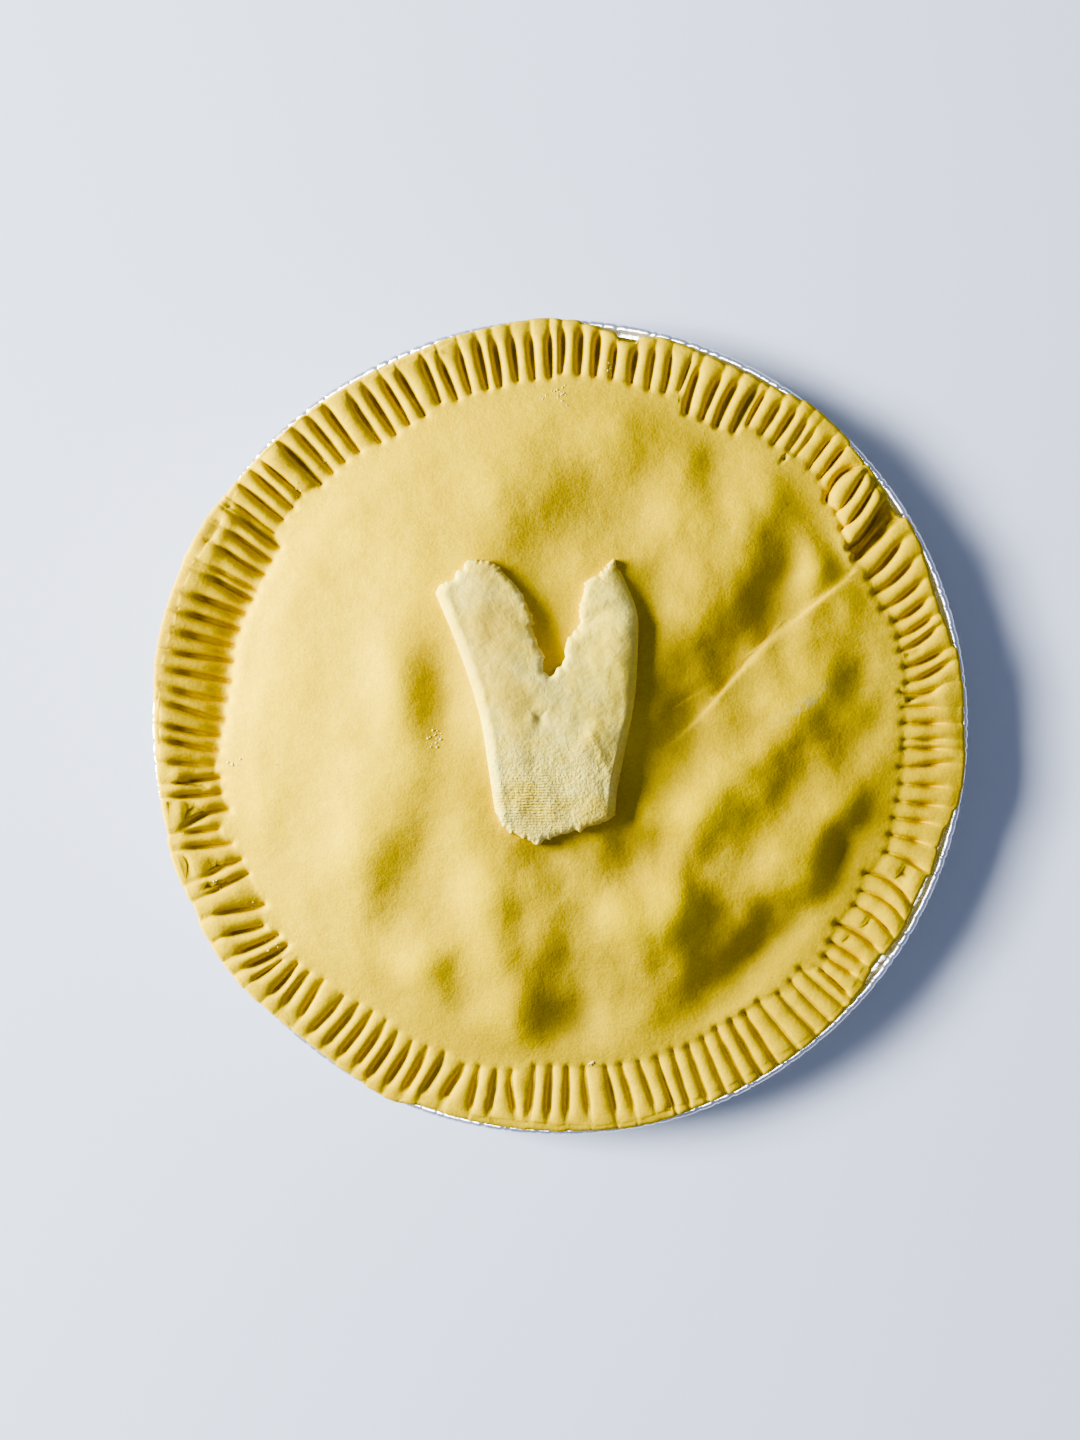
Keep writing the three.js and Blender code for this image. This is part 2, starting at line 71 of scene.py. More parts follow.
# Tips, reach, end, lean, bow, floor, depth.
PRESSES = [
    press((0.7,), 100.2, 114.4, -0.1, 0, 0.42, 4.0, pinch=0.3),
    press((3.3,), 100.2, 112.0, -0.4, 0, 0.26, 2.0),
    press((6.0,), 99.9, 113.5, 0.6, -1.0, 0.24, 2.4),
    press((7.3,), 102.0, 117.0, 2.4, -0.4, 0.42, 2.8),
    press((9.9,), 102.0, 115.8, 1.6, -0.4, 0.45, 2.9),
    press((12.6,), 102.0, 115.0, 2.4, -0.4, 0.48, 2.5),
    press((14.9, 17.6), 102.1, 115.0, 1.8, -0.4, 0.48, 2.8),
    press((20.1,), 100.0, 115.5, 2.1, -0.4, 0.48, 2.8),
    press((23.1,), 100.0, 115.5, 2.4, -0.4, 0.48, 3.0),
    press((25.9,), 100.3, 115.0, 2.8, -0.4, 0.57, 3.4),
    press((29.7,), 99.3, 113.5, 1.9, 0, 0.8, 4.6, lift=-3.4),
    press((31.8,), 99.3, 116.0, 3.0, -0.6, 0.5, 4.8, lift=1.9),
    press((35.1,), 100.5, 116.8, 2.6, -0.4, 0.25, 3.2, lift=2.1),
    press((37.8,), 102.6, 117.0, 2.2, -0.1, 0.22, 3.2, lift=2.1),
    press((40.3,), 102.2, 117.0, 0.3, 1.5, 0.35, 3.8, lift=0.3),
    press((43.7,), 105.4, 117.8, 0.7, 0, 0.18, 3.2),
    press((46.1,), 105.2, 117.8, 0.6, 0.2, 0.24, 2.5),
    press((49.0,), 105.0, 116.0, 0.4, 0, 0.30, 1.5),
    press((50.5,), 105.0, 116.5, 0.7, 0, 0.36, 2.0),
    press((53.0,), 103.8, 117.3, 0.4, 0, 0.33, 3.1),
    press((55.5,), 103.8, 116.5, 0.3, 0, 0.42, 2.9),
    press((58.2,), 104.0, 116.3, 0.2, 0, 0.36, 2.7),
    press((59.6,), 100.5, 116.2, 0.1, 0.3, 0.45, 3.1),
    press((62.5, 65.2), 99.4, 115.0, 0.1, 0.3, 0.57, 3.2),
    press((68.1,), 99.1, 113.8, 0.6, 0.2, 0.45, 3.1),
    press((70.4,), 104.4, 115.8, 0, 0, 0.12, 2.0),
    press((72.7,), 102.6, 115.5, 0.8, 0, 0.24, 2.5),
    press((75.3,), 102.3, 115.5, 0.6, 0, 0.45, 2.2),
    press((78.3,), 102.9, 114.2, 0.2, 0, 0.51, 2.9),
    press((81.5,), 103.2, 113.8, 0.1, 0, 0.33, 2.9),
    press((84.3, 86.9), 103.2, 117.2, 0, 0, 0.54, 3.5),
    press((89.8,), 103.8, 117.6, -0.1, -0.3, 0.45, 3.2),
    press((91.5,), 102.0, 116.5, 0, 0, 0.36, 3.2),
    press((94.2, 97.0), 101.8, 116.6, 0.1, 0, 0.45, 3.1),
    press((99.8,), 101.1, 116.3, 0, 0, 0.57, 3.3),
    press((102.1,), 101.1, 117.3, 0, 0, 0.48, 3.1),
    press((104.9,), 100.8, 116.5, 0, 0, 0.42, 3.2),
    press((107.4,), 100.6, 114.3, 0.6, 0, 0.42, 3.0),
    press((110.3,), 101.1, 117.0, 0.2, 0, 0.57, 3.2),
    press((113.5,), 99.3, 115.5, 0.9, 0, 0.48, 2.9),
    press((116.4,), 98.6, 116.3, 0.6, 0, 0.45, 3.0),
    press((119.3,), 98.0, 115.8, 0.5, 0, 0.54, 3.0),
    press((122.1,), 98.2, 116.0, 0.2, 0.3, 0.60, 3.1),
    press((126.1, 129.0), 99.8, 118.5, 0, 0, 0.44, 3.1),
    press((131.7,), 99.4, 118.6, 0, 0, 0.46, 3.1),
    press((134.5,), 99.4, 118.6, 0, 0, 0.46, 3.2, lift=0.6),
    press((138.0,), 102.0, 117.8, 0.2, 0, 0.17, 3.0, lift=0.5),
    press((140.5, 143.1), 100.9, 118.6, -0.3, 0, 0.36, 3.0),
    press((145.8,), 101.0, 115.5, -0.4, 0, 0.30, 2.8, lift=-0.5),
    press((147.3,), 97.2, 113.4, -0.5, 0, 0.50, 3.0, lift=0.4),
    press((150.0, 152.7), 97.2, 113.8, -0.7, 0, 0.46, 3.2, lift=0.4),
    press((155.6,), 97.5, 113.4, -0.3, 0, 0.61, 2.9),
    press((157.5,), 97.5, 113.6, -0.8, 0, 0.71, 3.6),
    press((160.2, 163.1, 166.0), 98.2, 115.2, -0.1, 0, 0.87, 3.7),
    press((168.6,), 97.7, 115.5, 0.4, 0, 0.77, 3.6),
    press((172.1,), 97.2, 116.0, -0.4, 0, 0.71, 3.5),
    press((175.3,), 97.5, 115.5, -1.1, 0.2, 0.92, 3.6),
    press((178.8,), 98.2, 116.0, -2.3, 0, 0.71, 3.4),
    press((181.4,), 99.6, 116.0, -1.7, 0, 0.71, 3.8),
    press((184.0,), 100.3, 116.2, -2.0, 0, 0.71, 3.6),
    press((186.4,), 101.6, 115.5, -1.2, 0, 0.68, 2.8),
    press((188.5,), 100.5, 112.5, -0.3, 0, 0.38, 3.1),
    press((191.1,), 100.8, 116.0, -0.9, 0, 0.53, 3.1),
    press((194.0,), 99.6, 115.0, 1.2, -0.7, 0.60, 3.2),
    press((196.6,), 104.0, 114.5, -0.9, 0, 0.45, 2.8),
    press((199.6,), 101.8, 116.0, -1.7, 0, 0.60, 3.0),
    press((202.6,), 100.5, 113.5, 0.2, 0, 0.45, 2.4),
    press((205.2,), 100.5, 114.5, 0.2, 0, 0.42, 2.4),
    press((211.0,), 100.8, 116.0, -2.6, 0, 0.60, 3.2),
    press((213.8,), 104.2, 115.8, -1.9, 0, 0.48, 3.2),
    press((216.4,), 102.0, 116.0, -1.4, 0, 0.48, 3.0),
    press((218.6,), 102.0, 116.3, -1.3, 0.4, 0.51, 3.2),
    press((219.9,), 105.8, 117.0, -0.4, 0, 0.15, 2.2),
    press((222.0,), 103.4, 116.0, 0.6, 0.2, 0.42, 3.0),
    press((224.4,), 102.3, 115.5, 0.8, 0, 0.59, 2.3),
    press((227.0,), 101.2, 114.8, 1.1, 0, 0.59, 2.3),
    press((231.2,), 100.8, 116.0, -0.5, 0.2, 0.59, 2.3),
    press((234.0, 236.6, 239.4), 99.6, 116.0, -0.5, 0.2, 0.62, 2.3),
    press((242.0, 244.8, 247.5), 101.1, 116.5, -0.7, 0.3, 0.66, 2.4),
    press((250.5,), 100.6, 115.0, -1.2, 0.2, 0.55, 2.3),
    press((254.2,), 102.8, 114.4, -1.5, 0, 0.78, 2.3),
    press((256.7, 259.5), 101.9, 115.5, 0, 0, 0.66, 2.0),
    press((262.1,), 101.5, 114.5, 1.4, -0.3, 0.63, 2.2),
    press((265.8, 268.6, 271.3), 99.3, 115.2, -0.3, 0, 0.60, 1.9),
    press((274.1,), 99.3, 115.2, 0.3, 0, 0.75, 1.5),
    press((277.7,), 100.2, 115.5, 0.5, 0, 0.45, 1.9),
    press((280.3, 283.3), 100.3, 115.5, 0.7, 0, 0.58, 1.6),
    press((286.4,), 100.7, 118.5, 0.4, 0, 0.40, 1.9),
    press((289.2, 291.9, 294.7), 100.1, 118.5, -0.3, 0, 0.52, 1.7),
    press((297.4, 300.2, 302.9), 99.3, 118.5, -0.1, 0, 0.55, 1.7),
    press((305.9,), 98.6, 118.5, 0.5, 0, 0.70, 1.5),
    press((309.4,), 100.8, 118.5, 0.6, 0, 0.56, 1.5),
    press((312.3,), 100.3, 118.5, 0.4, 0, 0.52, 1.6),
    press((314.9,), 99.2, 118.5, 0.7, 0, 0.60, 1.7),
    press((317.1,), 104.3, 115.3, 0, 0, 0.12, 2.4),
    press((319.2,), 102.0, 113.0, 0.7, 0, 0.27, 2.8),
    press((321.6,), 100.6, 113.5, 0.6, 0.2, 0.24, 2.6),
    press((324.6,), 99.2, 115.0, 0.2, 0.7, 0.36, 3.4),
    press((328.8,), 100.3, 115.8, -1.2, 0.6, 0.24, 2.6),
    press((331.4,), 99.8, 116.0, -0.9, 0.9, 0.24, 2.7),
    press((334.4,), 98.6, 116.0, -1.6, 1.2, 0.30, 2.9),
    press((339.0,), 102.0, 115.5, -0.6, 0.4, 0.44, 3.0, pinch=0.3),
    press((342.0,), 101.1, 114.5, 0.3, 0, 0.42, 3.4, pinch=0.3),
    press((344.8,), 100.8, 115.0, 0.8, 0, 0.42, 3.4, pinch=0.3),
    press((347.7, 350.6), 100.7, 116.0, 0.7, 0, 0.46, 3.8, pinch=0.35),
    press((353.3,), 99.9, 116.0, 1.5, 0, 0.42, 3.7, pinch=0.35),
    press((356.4, 357.9), 100.4, 114.8, 0.3, 0, 0.36, 3.6, pinch=0.3),
]
DEPTH_SHARE = 0.9
FLOOR_SHARE = 0.85
TIP_FLOOR_SHARE = 0.55  # how wide a mark's floor is at its tip, and its narrowest half width
NARROWEST_FLOOR = 0.08
TIP_OVERRUN = 0.4  # how far a mark reaches inside its tip
RIDGE_EDGE = 2.1  # how wide a ridge's side is where it rounds over
RIDGE_FOOT = (0.2, 1.3)  # from a mark's middle, where a ridge's own height begins and is reached
PINCH_START = (0.08, 0.16)  # shares of a mark's way over which it gets pinched, and deep again
PINCH_END = (0.4, 0.62)
# How far each mark strays from its row: millimetres, and shares of its floor and depth.
REACH_STRAY = 0.25
END_STRAY = 0.3
BOW_STRAY = 0.12
LIFT_STRAY = 0.2
FLOOR_STRAY = 0.15
DEPTH_STRAY = 0.1
# Share of the depth that a mark has at its tip, and the share of its way where it begins to run
# out, with what is added to them at some angles: angle, half width, amount.
TIP_SHARE = 0.6
TIP_SHARES = [(243, 18, -0.3), (300, 16, 0.2), (68, 10, 0.2), (165, 20, 0.2), (353, 14, -0.35)]
FADE_START = 0.68
FADE_STARTS = [(243, 22, 0.17), (300, 18, 0.2), (352, 12, -0.22)]

# Other cuts in the pressed rim: half width of the floor, depth, then angle and radius along it.
CUTS = [
    (0.35, 2.0, (4.4, 102.2), (4.9, 106.0), (5.3, 109.0)),
    (0.25, 1.2, (11.8, 103.4), (12.2, 107.8)),
    (0.3, 2.2, (189.5, 105.5), (188.8, 109.2), (188.2, 113.0)),
    (0.6, 2.0, (193.0, 107.8), (191.9, 112.2), (191.3, 115.9)),
    (0.4, 2.2, (202.3, 106.3), (201.2, 113.0), (200.5, 116.5)),
    (0.4, 2.2, (205.0, 108.0), (204.2, 113.6)),
    (0.12, 1.2, (325.4, 107.3), (327.0, 106.0), (328.2, 106.4), (329.5, 105.2)),
    (0.12, 1.0, (331.2, 106.2), (332.6, 106.8)),
    (0.12, 1.2, (334.6, 107.2), (336.2, 106.6), (338.2, 105.2)),
    (0.4, 2.4, (337.5, 107.0), (336.2, 110.7), (334.9, 115.3)),
    (0.15, 1.2, (323.5, 103.6), (323.0, 109.8)),
    (0.3, 1.1, (286.7, 113.6), (285.8, 116.6)),
    (0.25, 0.9, (149.0, 115.4), (150.3, 117.9)),
    (0.25, 0.9, (151.9, 115.4), (153.2, 117.9)),
    (0.25, 0.8, (146.3, 115.4), (147.2, 117.3)),
    (0.3, 1.0, (162.8, 116.3), (162.9, 118.2)),
    (0.3, 0.9, (165.9, 116.4), (166.0, 118.2)),
    (0.3, 0.9, (168.9, 116.4), (168.9, 118.2)),
    (0.2, 0.9, (176.0, 117.3), (179.5, 118.0), (183.0, 117.4)),
    (0.2, 0.8, (105.1, 113.4), (106.6, 114.0), (108.2, 115.2)),
    (0.2, 0.8, (257.3, 109.6), (258.8, 108.8), (260.3, 110.2), (261.6, 111.4)),
    (0.25, 1.5, (50.1, 102.0), (50.3, 102.6)),
]
CUT_EDGE = 0.9  # how wide a cut's sides are
# Swellings of the pressed rim: angle, radius, spread round the rim and across it, height.
SWELLINGS = [
    (165, 98.5, 40, 4.5, -1.6),
    (188, 98.0, 18, 4.0, -0.7),
    (137.6, 113.0, 6.5, 5.0, 0.5),
    (148.3, 113.5, 2.0, 1.6, 0.8),
    (151.2, 113.8, 2.0, 1.6, 0.8),
    (154.0, 113.5, 2.2, 1.6, 0.7),
    (151, 118.0, 9.0, 1.6, 1.0),
    (170, 117.6, 26, 1.8, 0.5),
    (331.5, 111.5, 11, 5.0, 1.0),
    (319, 108.0, 4.0, 7.0, 0.5),
    (208, 110.0, 6.0, 6.0, 0.6),
    (187, 112.0, 2.2, 2.2, 0.8),
    (113, 103.5, 4.0, 4.0, 0.5),
    (262.8, 105.0, 1.8, 5.0, 0.5),
]
# How much higher than elsewhere the rim stands: angle, half width in degrees, height.
RIM_LIFTS = [(160, 26, 2.6), (195, 18, 1.2), (37, 5, 0.5), (328, 9, 0.5), (218, 12, 0.8)]
INNER_RISE = 0.8  # how far the rim rises just outside the fork tips
OUTER_RISE = 1.1  # and from there to the outline
# Roughness of the pressed dough: height, size, seed of its noise.
ROUGHNESS = [(0.22, 9.0, 1), (0.07, 2.2, 2)]
# The ridges' outer ends: angle, half width, how far inside the outline, and how far they drop
# there to the thinner lip of pastry that sticks out under them.
RIDGE_ENDS = [
    (112, 7, 0.9, 0.3),
    (133, 9, -0.5, -0.12),
    (151, 6, 2.9, 0.6),
    (165, 8, 2.0, 0.3),
    (180, 5, 0.3, 0.4),
    (265, 9, 1.2, 0.3),
    (286, 6, 1.2, 0.15),
    (301, 12, 1.6, 0.2),
    (321, 5, 1.6, 0.12),
    (333, 8, 0.4, 0.05),
]
LIP_WIDTH = 1.3  # of that lip, where nothing is added above
LIP_DROP = 0.12
LIP_ROUNDING = 2.0
END_ROUNDING = 1.5  # how far a ridge's end curves back at its sides
END_SPREAD = 0.9  # how much the ridges differ in length
LIP_PAINTED_SHADE = 3.2  # painted shade on the lip, as dark as a mark of this depth
LIP_PAINTED_SHADES = [(167, 15, 0.9), (300, 20, 0.3)]  # where its painted shade is darker still: angle, half width, share
# Where the whole rim gets painted shade, more yellow as if marked this deep: angle, half width,
# depth.
RIM_PAINTED_SHADES = [(166, 12, 1.4)]
LIP_WAVES = 0.26  # share of a mark's depth that goes on over the lip
# Where the rim slopes down to its outline: angle, half width, how far it falls.
SLOPES = [(3, 6, 0.9), (351, 5, 0.3), (200, 16, 0.5), (92, 6, 0.6), (48, 6, 0.8)]
SLOPE_WIDTH = 6.5

OUTLINE_WAVER = 0.22  # how far the outline wavers between its points, and how fast
OUTLINE_WAVER_SIZE = 3.0
# The trimmed outline: angle and radius.
OUTLINE = [
    (0, 118.2), (5, 118.4), (9, 118.2), (12, 116.8), (18, 116.3), (24, 118.0), (28, 118.4),
    (31, 116.6), (35, 117.2), (38, 118.0), (41, 117.8), (45, 119.1), (50, 119.6), (54, 118.8),
    (57, 117.4), (62, 117.1), (67, 116.8), (72, 117.4), (75, 117.7), (78, 116.0), (80, 114.3),
    (82, 115.8), (84, 117.3), (88, 118.9), (93, 119.7), (100, 118.6), (106, 118.3), (112, 117.3),
    (120, 117.4), (130, 118.0), (140, 118.3), (146, 119.0), (152, 119.8), (160, 119.9),
    (170, 119.7), (178, 118.6), (186, 118.2), (194, 118.6), (201, 119.7), (207, 118.9),
    (212, 119.9), (218, 120.0), (224, 118.6), (231, 118.0), (240, 118.6), (246, 119.7),
    (252, 117.8), (262, 118.0), (272, 118.0), (281, 118.8), (290, 118.2), (300, 117.9),
    (310, 117.6), (318, 116.9), (322, 114.8), (325, 115.6), (330, 116.2), (336, 115.4),
    (339, 117.0), (342, 115.8), (345, 116.9), (349, 118.7), (354, 118.9),
]  # fmt: skip

# ---------------------------------------------------------------- lid and the piece on it

# Chunks of filling under the lid and hollows between them: x, y, spread, height, stretch,
# direction of the stretch. The first one moves the dome's summit off the middle.
LUMPS = [
    (-32, 4, 50, 7.6, 1.25, 90),
    (-45, 14, 9, 2.4, 1.7, 95),
    (-33, 10, 10, -3.9, 2.0, 98),
    (-56, -35, 13, 2.8, 1.5, 75),
    (-41, -42, 12, -3.4, 1.4, 80),
    (-40, -71, 8, 2.6, 1.4, 100),
    (-28, -62, 7, -0.7, 1.8, 100),
    (-12, -76, 10, 3.0, 1.3, 95),
    (8, -82, 9, -1.3, 1.4, 80),
    (-18, -50, 8, 2.4, 1.2, 60),
    (-2, -52, 9, 2.2, 1.2, 60),
    (18, -60, 10, 2.6, 1.5, 85),
    (33, -58, 11, 4.2, 2.0, 82),
    (50, -80, 13, -4.6, 1.8, 80),
    (51, -56, 8, 2.6, 1.4, 80),
    (63, -63, 9, -1.6, 1.4, 70),
    (42, -25, 8, 2.8, 1.1, 0),
    (31, -38, 9, -2.8, 1.6, 150),
    (55, -27, 8, -0.4, 1.6, 60),
    (68, -42, 12, 2.1, 1.4, 50),
    (64, -2, 11, 2.0, 2.2, 45),
    (36, 2, 14, -2.2, 1.8, 60),
    (82, -23, 8, 3.0, 1.9, 42),
    (86, 2, 12, -1.9, 1.6, 62),
    (92, -41, 11, -1.4, 1.5, 62),
    (47, 41, 12, 3.4, 1.8, 60),
    (59, 27, 10, -2.9, 1.8, 50),
    (74, 47, 6, 2.6, 1.2, 50),
    (88, 58, 10, -4.4, 1.5, 35),
    (6, 60, 12, -2.6, 2.2, 38),
    (-12, 74, 13, 1.8, 1.8, 60),
    (18, 86, 10, 1.6, 1.6, 70),
    (48, 79, 10, -2.6, 1.5, 60),
    (60, 70, 9, 1.2, 1.6, 70),
    (-2, 28, 8, -2.0, 1.6, 100),
    (22, 62, 9, -1.4, 1.6, 60),
    (-62, 30, 12, -1.0, 1.6, 80),
    (-74, -30, 12, -0.8, 1.6, 100),
]
CRUMPLE_HEIGHT = 1.7
CRUMPLE_SIZE = 24.0
CRUMPLE_SHARES = (0.3, 1.4)  # where the filling is fine, and where it is coarse
# Finer unevenness all over the lid: height, size.
DIMPLES = [(0.32, 15.0), (0.13, 7.0)]
DIMPLE_SHARES = (0.8, 1.5)  # on the left and on the right
LUMPS_END = 0.87  # share of the way to the fork tips where the lumps begin to level out
LUMP_LIGHT_SHADE_BLUR = 11.0  # the spread that a lump is compared with for its painted shade and painted light
LEAF_BLUR = 7.0  # how far the dough on top bridges the lumps under it

# Folds of the lid: rise of the dough to the right of the line, how far that reaches, the line.
FOLDS = [
    (1.35, 15.0, [(28, -9), (41, 3.5), (60, 24.5), (70, 32.5), (80, 40.5), (88.6, 48.2)]),
    (0.18, 5.0, [(31, 3.5), (36, 7.5), (43, 11.5)]),
    (0.6, 6.0, [(52, 19), (60, 25.5), (66, 33)]),
]
FOLD_STEP = 0.28
FOLD_GROOVE = 0.45  # depth of the crease along a fold's foot
CREASE_OFFSET = 0.7  # how far left of the line it lies
CREASE_WIDTH = 0.8
CREASE_PAINTED_SHADE = 2.6  # painted shade in a crease, as dark as a fork mark of this depth
PALE_STREAK_LINE = [(60, 0), (66, 4), (73, 8), (82, 15)]  # where the dough is paler and whitish along a line
PALE_STREAK_WIDTH = 1.6
GATHER = 5.0  # points of the lid closer to a fold than this are drawn towards it

LEAF_THICKNESS = 3.4
LEAF_START = (-36, 38.6)
LEAF_RUNS = [
    [(-34.8, 41)],
    [(-31.4, 42), (-28.8, 45.4), (-26, 48)],
    [(-19.5, 47.4), (-12, 39.6), (-7.6, 30.4)],
    [(-7.2, 25.5), (-4.6, 20), (-4.9, 15.8)],
    [(-2.2, 15.6), (0.5, 18.8)],
    [(2.4, 25.5), (5.2, 30.2), (5.6, 35.4), (7.6, 42)],
    [(11.4, 44.8), (13.6, 46.2)],
    [(15.6, 48.9)],
    [(17.4, 45.2)],
    [(18.8, 42.2), (22.2, 32.8), (22.3, 21.6), (21.4, 8), (18.8, -5.8), (16.4, -18)],
    [(15.8, -24.8)],
    [(12, -27.4), (-1, -31.2), (-4.6, -32.4)],
    [(-5.8, -34.4)],
    [(-7.4, -32.8)],
    [(-14.8, -30.2), (-18.8, -24.2)],
    [(-20.4, -13.8), (-22.6, 0.5), (-26, 13), (-31, 26.8)],
    [LEAF_START],
]
LEAF_TORN_RUNS = (1, 2, 3, 4, 5, 6, 7, 8, 11, 12, 13, 14)
LEAF_CUT_RUNS = (9, 10)
LEAF_ROLLED_RUNS = (0, 15, 16)
LEAF_TEETH = 0.22  # how far the torn edges stray
LEAF_BITES = 0.75  # and how deep the bites between them are
LEAF_BEAD = 0.3  # height of the bead along the rolled edge
# Oval spots on the dough on top, where it stands higher or lower, is sliced thin, or has a tint or
# a print of its own: x, y, reach along x, reach along y, amount.
LEAF_SWELLINGS = [(-5.9, 2.1, 1.6, 2.2, -0.7), (19, 26, 8, 14, 0.9)]
LEAF_SLICED = [(17, -14, 7, 12, 1.0)]
LEAF_GREY = [(-21, 28, 8, 15, 1.0), (-14, 8, 6, 9, 0.8)]
LEAF_WARM = [(13, 22, 9, 26, 1.0)]
LEAF_PRINTS = [(-8, -21, 9, 7, 1.0)]
# Lines on it that are raised or pressed in: height, half width, the line.
LEAF_LINES = [
    (-0.16, 0.5, [(-3.9, 5), (-5.9, 2.6), (-7.6, 4.0)]),
    (-0.5, 2.0, [(4.5, 27), (10, 31.5), (15, 34.5), (20, 34)]),
    (0.25, 1.2, [(9, -2), (13.5, -12), (15, -21)]),
]
# Its unevenness: height, size, octaves and seed of its noise.
LEAF_RELIEF = [(0.45, 11.0, 2, 3), (0.06, 2.6, 3, 4)]

# ---------------------------------------------------------------- small helpers


def smoothstep(value, low, high):
    t = np.clip((value - low) / (high - low), 0, 1)
    return t * t * (3 - 2 * t)


def lerp(a, b, t):
    return a + (b - a) * t


def turn_between(a, b):
    return (a - b + 540) % 360 - 180


def humps(angle, table):
    """The sum of smooth humps round the rim."""
    total = np.zeros_like(angle, dtype=float)
    for middle, half_width, size in table:
        total += size * np.exp(-((turn_between(angle, middle) / half_width) ** 2))
    return total


def spots(x, y, table):
    """The sum of soft oval spots."""
    total = np.zeros_like(x, dtype=float)
    for spot_x, spot_y, wide, long, size in table:
        total += size * np.exp(-(((x - spot_x) / wide) ** 2) - ((y - spot_y) / long) ** 2)
    return total


def ripple(points, wavelength, octaves, seed):
    """Smooth noise, about -1 to 1, at each row of points."""
    offset = Vector((17.3 * seed, -9.1 * seed, 5.7 * seed))
    scale = 1.0 / wavelength
    return np.array([noise.fractal(Vector(p) * scale + offset, 0.6, 2.1, octaves) for p in points])


def flat_ripple(x, y, wavelength, octaves, seed):
    return ripple(np.column_stack([x, y, np.zeros_like(x)]), wavelength, octaves, seed)


def polar(angle, radius, height):
    a = np.radians(angle)
    return np.stack([radius * np.cos(a), radius * np.sin(a), height + 0 * a], axis=1)


def catmull_rom(points, steps):
    """A smooth curve through the points, without its first point."""
    p = [points[0], *points, points[-1]]
    out = []
    for i in range(1, len(p) - 2):
        p0, p1, p2, p3 = (np.array(q, float) for q in p[i - 1 : i + 3])
        for k in range(1, steps + 1):
            t = k / steps
            v0, v1 = (p2 - p0) / 2, (p3 - p1) / 2
            out.append(
                (2 * p1 - 2 * p2 + v0 + v1) * t**3
                + (-3 * p1 + 3 * p2 - 2 * v0 - v1) * t**2
                + v0 * t
                + p1
            )
    return out


def line_frame(x, y, line):
    """Where points lie next to a line: the vector from it, the distance, which is positive on its
    right, and the share of its way."""
    best = np.full(x.shape, 1e9)
    away_x, away_y, side, way = (np.zeros(x.shape) for _ in range(4))
    line = np.asarray(line, float)
    lengths = np.linalg.norm(np.diff(line, axis=0), axis=1)
    total = lengths.sum()
    passed = 0.0
    for (px, py), (qx, qy), length in zip(line[:-1], line[1:], lengths):
        dx, dy = (qx - px) / length, (qy - py) / length
        along = np.clip((x - px) * dx + (y - py) * dy, 0, length)
        ox, oy = x - px - along * dx, y - py - along * dy
        distance = np.hypot(ox, oy)
        closer = distance < best
        best = np.where(closer, distance, best)
        away_x = np.where(closer, ox, away_x)
        away_y = np.where(closer, oy, away_y)
        side = np.where(closer, np.sign(ox * dy - oy * dx), side)
        way = np.where(closer, (passed + along) / total, way)
        passed += length
    return away_x, away_y, best * side, way


def link_object(name, data):
    item = bpy.data.objects.new(name, data)
    bpy.context.scene.collection.objects.link(item)
    return item


def make_object(name, points, faces, smooth=True):
    """A mesh object from points in millimetres."""
    mesh = bpy.data.meshes.new(name)
    mesh.from_pydata((np.asarray(points) * MM).tolist(), [], faces)
    mesh.validate()
    mesh.polygons.foreach_set("use_smooth", [smooth] * len(mesh.polygons))
    mesh.update()
    return link_object(name, mesh)


def set_attribute(item, name, values):
    attribute = item.data.attributes.new(name, "FLOAT", "POINT")
    attribute.data.foreach_set("value", np.asarray(values, np.float32))


def mesh_points(mesh):
    points = np.zeros(len(mesh.vertices) * 3)
    mesh.vertices.foreach_get("co", points)
    return points.reshape(-1, 3) / MM


def add_piece(item, material, replaced=None):
    item.data.materials.clear()
    item.data.materials.append(material)
    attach(item, BODY)
    if replaced:
        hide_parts(replaced)
    return item


# ---------------------------------------------------------------- rings to faces


def ring_faces(inner, outer, ratio):
    """Faces between two rings of point indices, where the outer one has ratio times as many."""
    faces = []
    n = len(inner)
    m = len(outer)
    for i in range(n):
        a, b = inner[i], inner[(i + 1) % n]
        fan = [outer[(i * ratio + k) % m] for k in range(ratio + 1)]
        if ratio == 1:
            faces.append((a, fan[0], fan[1], b))
            continue
        half = (ratio + 1) // 2
        faces += [(a, fan[k], fan[k + 1]) for k in range(half)]
        faces.append((a, fan[half], b))
        faces += [(b, fan[k], fan[k + 1]) for k in range(half, ratio)]
    return faces


class RingStack:
    """Points in rings from one pole outwards and back to the other, with the faces between."""

    def __init__(self, pole):
        self.points = [pole]
        self.faces = []
        self.last = [0]

    def add(self, ring):
        start = len(self.points)
        self.points.extend(ring)
        new = list(range(start, start + len(ring)))
        if len(self.last) == 1:
            pole = self.last[0]
            self.faces += [(pole, new[i], new[(i + 1) % len(new)]) for i in range(len(new))]
        elif len(new) >= len(self.last):
            self.faces += ring_faces(self.last, new, len(new) // len(self.last))
        else:
            flipped = ring_faces(new, self.last, len(self.last) // len(new))
            self.faces += [face[::-1] for face in flipped]
        self.last = new

    def close(self, pole):
        self.points.append(pole)
        end = len(self.points) - 1
        n = len(self.last)
        self.faces += [(self.last[i], end, self.last[(i + 1) % n]) for i in range(n)]


# ---------------------------------------------------------------- fork marks as arrays


